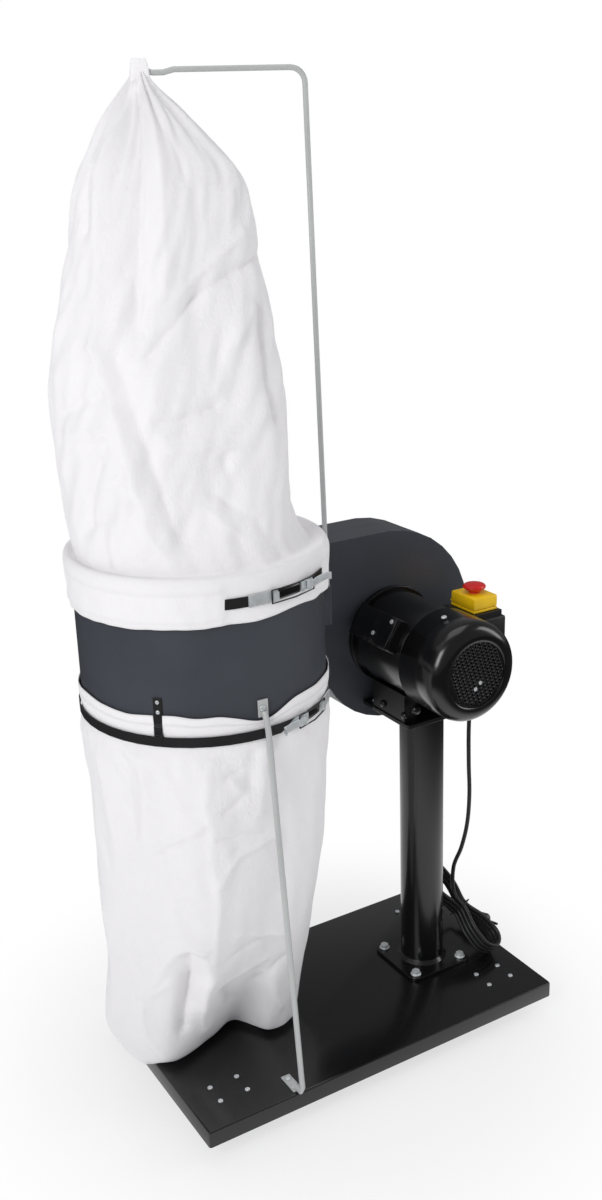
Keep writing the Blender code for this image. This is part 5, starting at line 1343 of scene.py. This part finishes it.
    def place(self, turn: float, along: float) -> tuple[Vector, float]:
        """Where a point of the bag lies: sleeve, strapped neck, slack body and bottom seam.

        Args:
            turn: The angle round the bag.
            along: The way down the bag, from 0 at its top edge to 1 at its bottom seam.

        Returns:
            The point in the row frame, and how far it is in a seam from 0 to 1.
        """
        height = self.top * (1 - along) + self.bottom * along
        turn = self.beside_hook(turn, height)
        angle = signed(turn)
        shift, wide, deep = through(self.knots, height)
        push = fold_depth(self.folds, turn, height) * (1 - ramp(*self.fold_fade, height))
        push *= min(wide, deep) / RING_RADIUS
        folds = waver(self.slack, turn, height) + self.creased(turn, height, RING_RADIUS)
        folds += (1 - blend(*self.gather_end_shares, along)) * waver(self.gather, turn, height)
        slack = (1 - blend(*self.neck, height)) * (1 - blend(*self.slack_end_shares, along))
        push += slack * folds * (self.flattened_push + (1 - self.flattened_push) * deep / RING_RADIUS)
        centre = BAG_LEAN * shift
        x = centre.x + (wide + push) * math.cos(turn)
        y = centre.y + (deep + push) * math.sin(turn) * (1 - blend(*self.pressed_shares, along))
        loose = max(1 - height / self.seam_reach, 0.0) ** 2
        y += (through(self.seam, x + RING_OFFSET.x)[0] - centre.y) * loose
        height += blend(*self.edge, height) * waver(self.edge_wander, turn, height)
        dip = max(1 - blend(flat, reach, abs(angle - at)) for at, flat, reach in self.dips)
        height -= dip * max(height - self.dip_floor, 0.0) * self.dip_share
        stitched = max(0.0, 1 - abs(along - self.stitch_share) / self.stitch_half)
        panel = 1 - min(abs(angle - self.panel_seam_turn) / self.panel_seam_half, 1.0)
        return RING_AXIS + Vector((x, y, height)), max(stitched, panel)

    def build(self) -> None:
        """Sew and strap the bag."""
        made = self.sew("collection_bag_cloth", self.flat)
        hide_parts("collection_bag")


@dataclass
class FanCover:
    """The pressed cover over the cooling fan, with slanted rows of short slots in its end."""

    axis: Vector = TRAY_TOP + Vector((0.190, 0.0, 0.611))
    radius: float = 0.084
    open_y: float = -0.0663
    end_y: float = -0.1623
    edge: float = 0.024
    edge_steps: int = 12
    round_steps: int = 96
    eye: float = 0.055
    recess: float = 0.0010
    sheet: float = 0.0018
    pitch: Span = (0.0080, 0.0066)
    slot: Span = (0.0032, 0.0046)
    slot_margin: float = 0.003
    plate_lap: float = 0.006
    tilt: float = math.radians(-20.0)
    cells: int = 17

    def shell(self, shape: bmesh.types.BMesh) -> None:
        """Add the round wall, its rounded edge and the flat rim.

        Args:
            shape: The shape it joins.
        """
        flat = self.radius - self.edge
        profile = [(self.radius, self.open_y)]
        for k in range(self.edge_steps + 1):
            turn = math.pi / 2 * k / self.edge_steps
            fallen = self.edge * (1 - math.sin(turn))
            profile.append((flat + self.edge * math.cos(turn), self.end_y + fallen))
        profile += [(self.eye, self.end_y), (self.eye, self.end_y + self.recess)]
        verts = [shape.verts.new(self.axis + Vector((r, y, 0.0))) for r, y in profile]
        edges = [shape.edges.new(pair) for pair in zip(verts, verts[1:])]
        bmesh.ops.spin(
            shape, geom=verts + edges, cent=self.axis, axis=(0, 1, 0), angle=math.tau,
            steps=self.round_steps, use_merge=True,
        )

    def grille(self, shape: bmesh.types.BMesh) -> None:
        """Add the slotted plate behind the rim.

        Args:
            shape: The shape it joins.
        """
        count = 2 * self.cells
        stand = Matrix.Rotation(self.tilt, 4, "Y") @ Matrix.Rotation(math.pi / 2, 4, "X")
        made = bmesh.ops.create_grid(shape, x_segments=count, y_segments=count, size=GRID_HALF)["verts"]
        faces = dict.fromkeys(face for vert in made for face in vert.link_faces)
        gone = []
        for face in faces:
            middle = face.calc_center_median()
            column, row = (math.floor((value + GRID_HALF) * count) for value in middle.xy)
            steps = (column - self.cells, row - self.cells)
            far = Vector([step / 2 * pitch for step, pitch in zip(steps, self.pitch)]).length
            cut = column % 2 == 0 and row % 2 == 0 and far < self.eye - self.slot_margin
            if cut or far > self.eye + self.plate_lap:
                gone.append(face)
        for vert in made:
            spot = []
            for value, pitch, slot in zip(vert.co.xy, self.pitch, self.slot):
                step = round((value + GRID_HALF) * count)
                spot.append((step // 2 - self.cells / 2) * pitch + (slot if step % 2 else 0.0))
            vert.co = self.axis + Vector((0, self.end_y + self.recess, 0)) + stand @ Vector((*spot, 0.0))
        bmesh.ops.delete(shape, geom=gone, context="FACES")

    def build(self) -> None:
        """Press the cover."""
        shape = bmesh.new()
        self.shell(shape)
        self.grille(shape)
        made = piece("fan_cover_pressing", shape, "gloss_black")
        thicken(made, self.sheet)
        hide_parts("fan_cover")


@dataclass
class StrapTongue:
    """The end of a band that runs on under its latch's bail."""

    name: str
    arc_degrees: Span
    middle: float
    inner: float = 0.1884
    thick: float = 0.0012
    half: float = 0.0074
    edge_drop: float = 0.0003
    edge_sharpness: int = 4
    grid: tuple[int, int] = (24, 4)

    def build(self) -> None:
        """Bend the tongue round the ring."""
        shape = bmesh.new()
        bmesh.ops.create_grid(shape, x_segments=self.grid[0], y_segments=self.grid[1], size=GRID_HALF)
        first, last = self.arc_degrees
        for vert in shape.verts:
            turn = math.radians(first + (last - first) * (vert.co.x + GRID_HALF))
            aside = vert.co.y / GRID_HALF
            radius = self.inner + self.thick - self.edge_drop * aside**self.edge_sharpness
            rise = self.middle + self.half * aside
            vert.co = RING_AXIS + Vector((radius * math.cos(turn), radius * math.sin(turn), rise))
        made = piece(self.name, shape, "gloss_black")
        thicken(made, self.thick)


TONGUES = (
    StrapTongue("upper_tongue", arc_degrees=(-81.6, -68.3), middle=0.828),
    StrapTongue("lower_tongue", arc_degrees=(-65.7, -55.4), middle=0.6295),
)


class Head(Enum):
    """The kinds of small fastener head."""

    PAN = "pan"
    HEX = "hex"
    RIVET = "rivet"


@dataclass(frozen=True)
class HeadSize:
    """A fastener head's radius, height and kind."""

    radius: float
    height: float
    head: Head = Head.PAN


@dataclass
class Fastener:
    """One screw, bolt or rivet head standing on a face."""

    at: Sequence[float]
    axis: Triple
    size: HeadSize
    round_sides: int = 24
    hex_sides: int = 6
    bevel_steps: int = 3
    domed: float = 0.75
    eased: float = 0.4
    recess_rim: float = 0.25
    recess_depth: float = 0.35

    def add(self, shape: bmesh.types.BMesh) -> None:
        """Add the head to a shape.

        Args:
            shape: The shape it joins.
        """
        radius, height, head = self.size.radius, self.size.height, self.size.head
        sides = self.hex_sides if head is Head.HEX else self.round_sides
        stand = Vector(self.axis).to_track_quat("Z", "X").to_matrix().to_4x4()
        matrix = Matrix.Translation(TRAY_TOP + Vector(self.at)) @ stand
        made = bmesh.ops.create_circle(shape, cap_ends=True, segments=sides, radius=radius, matrix=matrix)
        base = list(made["verts"][0].link_faces)
        top = bmesh.ops.extrude_face_region(shape, geom=base)["geom"]
        crown = [g for g in top if isinstance(g, bmesh.types.BMVert)]
        bmesh.ops.translate(shape, verts=crown, vec=Vector(self.axis).normalized() * height)
        rim = [edge for g in top if isinstance(g, bmesh.types.BMFace) for edge in g.edges]
        soft = height * (self.domed if head is Head.RIVET else self.eased)
        bmesh.ops.bevel(
            shape, geom=rim, offset=soft, offset_type="OFFSET", segments=self.bevel_steps, profile=0.5,
            affect="EDGES", material=-1,
        )
        if head is Head.PAN:
            faces = [face for vert in crown if vert.is_valid for face in vert.link_faces]
            if faces:
                cap = max(faces, key=lambda face: face.calc_area())
                rim_width, sunk = radius * self.recess_rim, -height * self.recess_depth
                bmesh.ops.inset_region(shape, faces=[cap], thickness=rim_width, depth=sunk)


def on_ring(turn: float, radius: float, height: float, size: HeadSize) -> Fastener:
    """A fastener that stands out from the ring.

    Args:
        turn: Its angle round the ring.
        radius: The face's distance from the ring's axis.
        height: Its height above the tray.
        size: Its head.

    Returns:
        The fastener.
    """
    way = (math.cos(turn), math.sin(turn), 0.0)
    return Fastener(RING_OFFSET + Vector(way) * radius + UP * height, way, size)


@dataclass
class Fasteners:
    """The small screws, rivets and cap nuts on the fixed body."""

    caster: Span = (0.268, 0.122)
    caster_holes: Span = (0.024, 0.018)
    caster_screw: HeadSize = HeadSize(0.0042, 0.0022)
    rim_screw: HeadSize = HeadSize(0.0032, 0.0020)
    frame_screw: HeadSize = HeadSize(0.0046, 0.0026)
    lid_screw: HeadSize = HeadSize(0.0036, 0.0022)
    bracket_bolt: HeadSize = HeadSize(0.0065, 0.0050, Head.HEX)
    strut_screw: HeadSize = HeadSize(0.0042, 0.0024)
    tab_screw: HeadSize = HeadSize(0.0046, 0.0024)
    hook_rivet: HeadSize = HeadSize(0.0030, 0.0014, Head.RIVET)
    front_nut: HeadSize = HeadSize(0.0085, 0.0070, Head.RIVET)
    side_nut: HeadSize = HeadSize(0.0065, 0.0050, Head.RIVET)
    rim_screws_at: tuple[Triple, ...] = ((0.1970, -0.1606, 0.5965), (0.1874, -0.1606, 0.5877))
    frame_screw_at: Triple = (0.1717, -0.0996, 0.6932)
    lid_screws_at: tuple[Triple, ...] = ((0.1157, -0.0356, 0.6794), (0.1002, -0.0040, 0.6546))
    bracket_bolt_at: Triple = (0.1440, 0.0560, 0.5000)
    strut_screws_at: tuple[Triple, ...] = ((-0.1796, -0.1574, 0.0033), (-0.1810, -0.1780, 0.0033))
    front_nut_at: Triple = (0.1440, -0.0600, 0.5270)
    side_nuts_at: tuple[Triple, ...] = ((0.1320, -0.0460, 0.5140), (0.1320, 0.0150, 0.5140))
    upward: Triple = (0.0, 0.0, 1.0)
    forward: Triple = (0.0, -1.0, 0.0)
    sideways: Triple = (-1.0, 0.0, 0.0)
    frame_way: Triple = (-0.218, 0.0, 0.976)
    lid_way: Triple = (-0.848, 0.0, 0.530)
    tab_radius: float = 0.1884
    tab_height: float = 0.668
    hook_radius: float = 0.1868
    hook_heights: Span = (0.688, 0.673)

    def tray(self) -> list[Fastener]:
        """The four screws of each caster, seen on the tray's top.

        Returns:
            The fasteners.
        """
        found = []
        for side_x, side_y, hole_x, hole_y in product((-1, 1), repeat=4):
            x = side_x * self.caster[0] + hole_x * self.caster_holes[0]
            y = side_y * self.caster[1] + hole_y * self.caster_holes[1]
            found.append(Fastener((x, y, 0.0), self.upward, self.caster_screw))
        return found

    def frame_screws(self) -> list[Fastener]:
        """The bright screws and bolts of the motor, terminal box, bracket and strut.

        Returns:
            The fasteners.
        """
        return [
            *(Fastener(at, self.forward, self.rim_screw) for at in self.rim_screws_at),
            Fastener(self.frame_screw_at, self.frame_way, self.frame_screw),
            *(Fastener(at, self.lid_way, self.lid_screw) for at in self.lid_screws_at),
            Fastener(self.bracket_bolt_at, self.upward, self.bracket_bolt),
            *(Fastener(at, self.upward, self.strut_screw) for at in self.strut_screws_at),
            on_ring(STRUT_TURN, self.tab_radius, self.tab_height, self.tab_screw),
        ]

    def rivets(self) -> list[Fastener]:
        """The rivets that hold the band's hook to the ring."""
        return [on_ring(HOOK_TURN, self.hook_radius, rise, self.hook_rivet) for rise in self.hook_heights]

    def domes(self) -> list[Fastener]:
        """The black cap nuts on the motor's near foot.

        Returns:
            The fasteners.
        """
        return [
            Fastener(self.front_nut_at, self.forward, self.front_nut),
            *(Fastener(at, self.sideways, self.side_nut) for at in self.side_nuts_at),
        ]

    def build(self) -> None:
        """Place every fastener."""
        groups = (
            ("caster_screws", "zinc", self.tray()),
            ("frame_screws", "zinc", self.frame_screws()),
            ("hook_rivets", "zinc", self.rivets()),
            ("foot_nuts", "gloss_black", self.domes()),
        )
        for name, slot, heads in groups:
            shape = bmesh.new()
            for head in heads:
                head.add(shape)
            piece(name, shape, slot)


@dataclass
class Kept:
    """The CAD nodes that stay: softened edges, smooth faces and finer finishes."""

    edge: float = 0.0007
    edge_steps: int = 2
    sharp: float = math.radians(32.0)
    zinc_arcs: tuple[tuple[str, Span], ...] = (
        ("upper_band", (-97.0, -57.0)), ("lower_band", (-78.0, -40.0)),
    )
    strap_radius: float = 0.1899

    def soften(self, node: bpy.types.Object) -> None:
        """Weld the facets, round the sharp edges and shade smoothly.

        Args:
            node: The CAD node.
        """
        data = node.data
        if "custom_normal" in data.attributes:
            data.attributes.remove(data.attributes["custom_normal"])
        for face in data.polygons:
            face.use_smooth = True
        weld = node.modifiers.new("weld", "WELD")
        weld.merge_threshold = WELD
        edge = node.modifiers.new("edge", "BEVEL")
        edge.width = self.edge
        edge.segments = self.edge_steps
        edge.limit_method = "ANGLE"
        edge.angle_limit = self.sharp
        edge.harden_normals = True

    def plate(self, node: bpy.types.Object, arc: Span) -> None:
        """Give a band's welded rack and pivot base their bright plating.

        Args:
            node: The band.
            arc: The angles they lie between, in degrees.
        """
        node.data.materials.append(WARDROBE.take("zinc"))
        for face in node.data.polygons:
            away = face.center - RING_AXIS
            angle = math.degrees(math.atan2(away.y, away.x))
            if arc[0] < angle < arc[1] and away.xy.length > self.strap_radius:
                face.material_index = 1

    def build(self) -> None:
        """Dress every CAD node, and plate the latches' parts of the bands."""
        slots = {row["node"]: row["material_slot"] for row in frame["record"]["subparts"]}
        for name, node in frame["nodes"].items():
            node.data.materials.clear()
            node.data.materials.append(WARDROBE.take(slots[name]))
            self.soften(node)
            log.info("%s: %s", name, slots[name])
        for name, arc in self.zinc_arcs:
            self.plate(frame["nodes"][name], arc)


def main() -> None:
    """Build the scene."""
    logging.basicConfig(level=logging.INFO, format="%(message)s")
    Studio().build()
    MainsCord().build()
    Kept().build()
    FanCover().build()
    FilterBag().build()
    CollectionBag().build()
    for tongue in TONGUES:
        tongue.build()
    Fasteners().build()


if __name__ == "__main__":
    main()
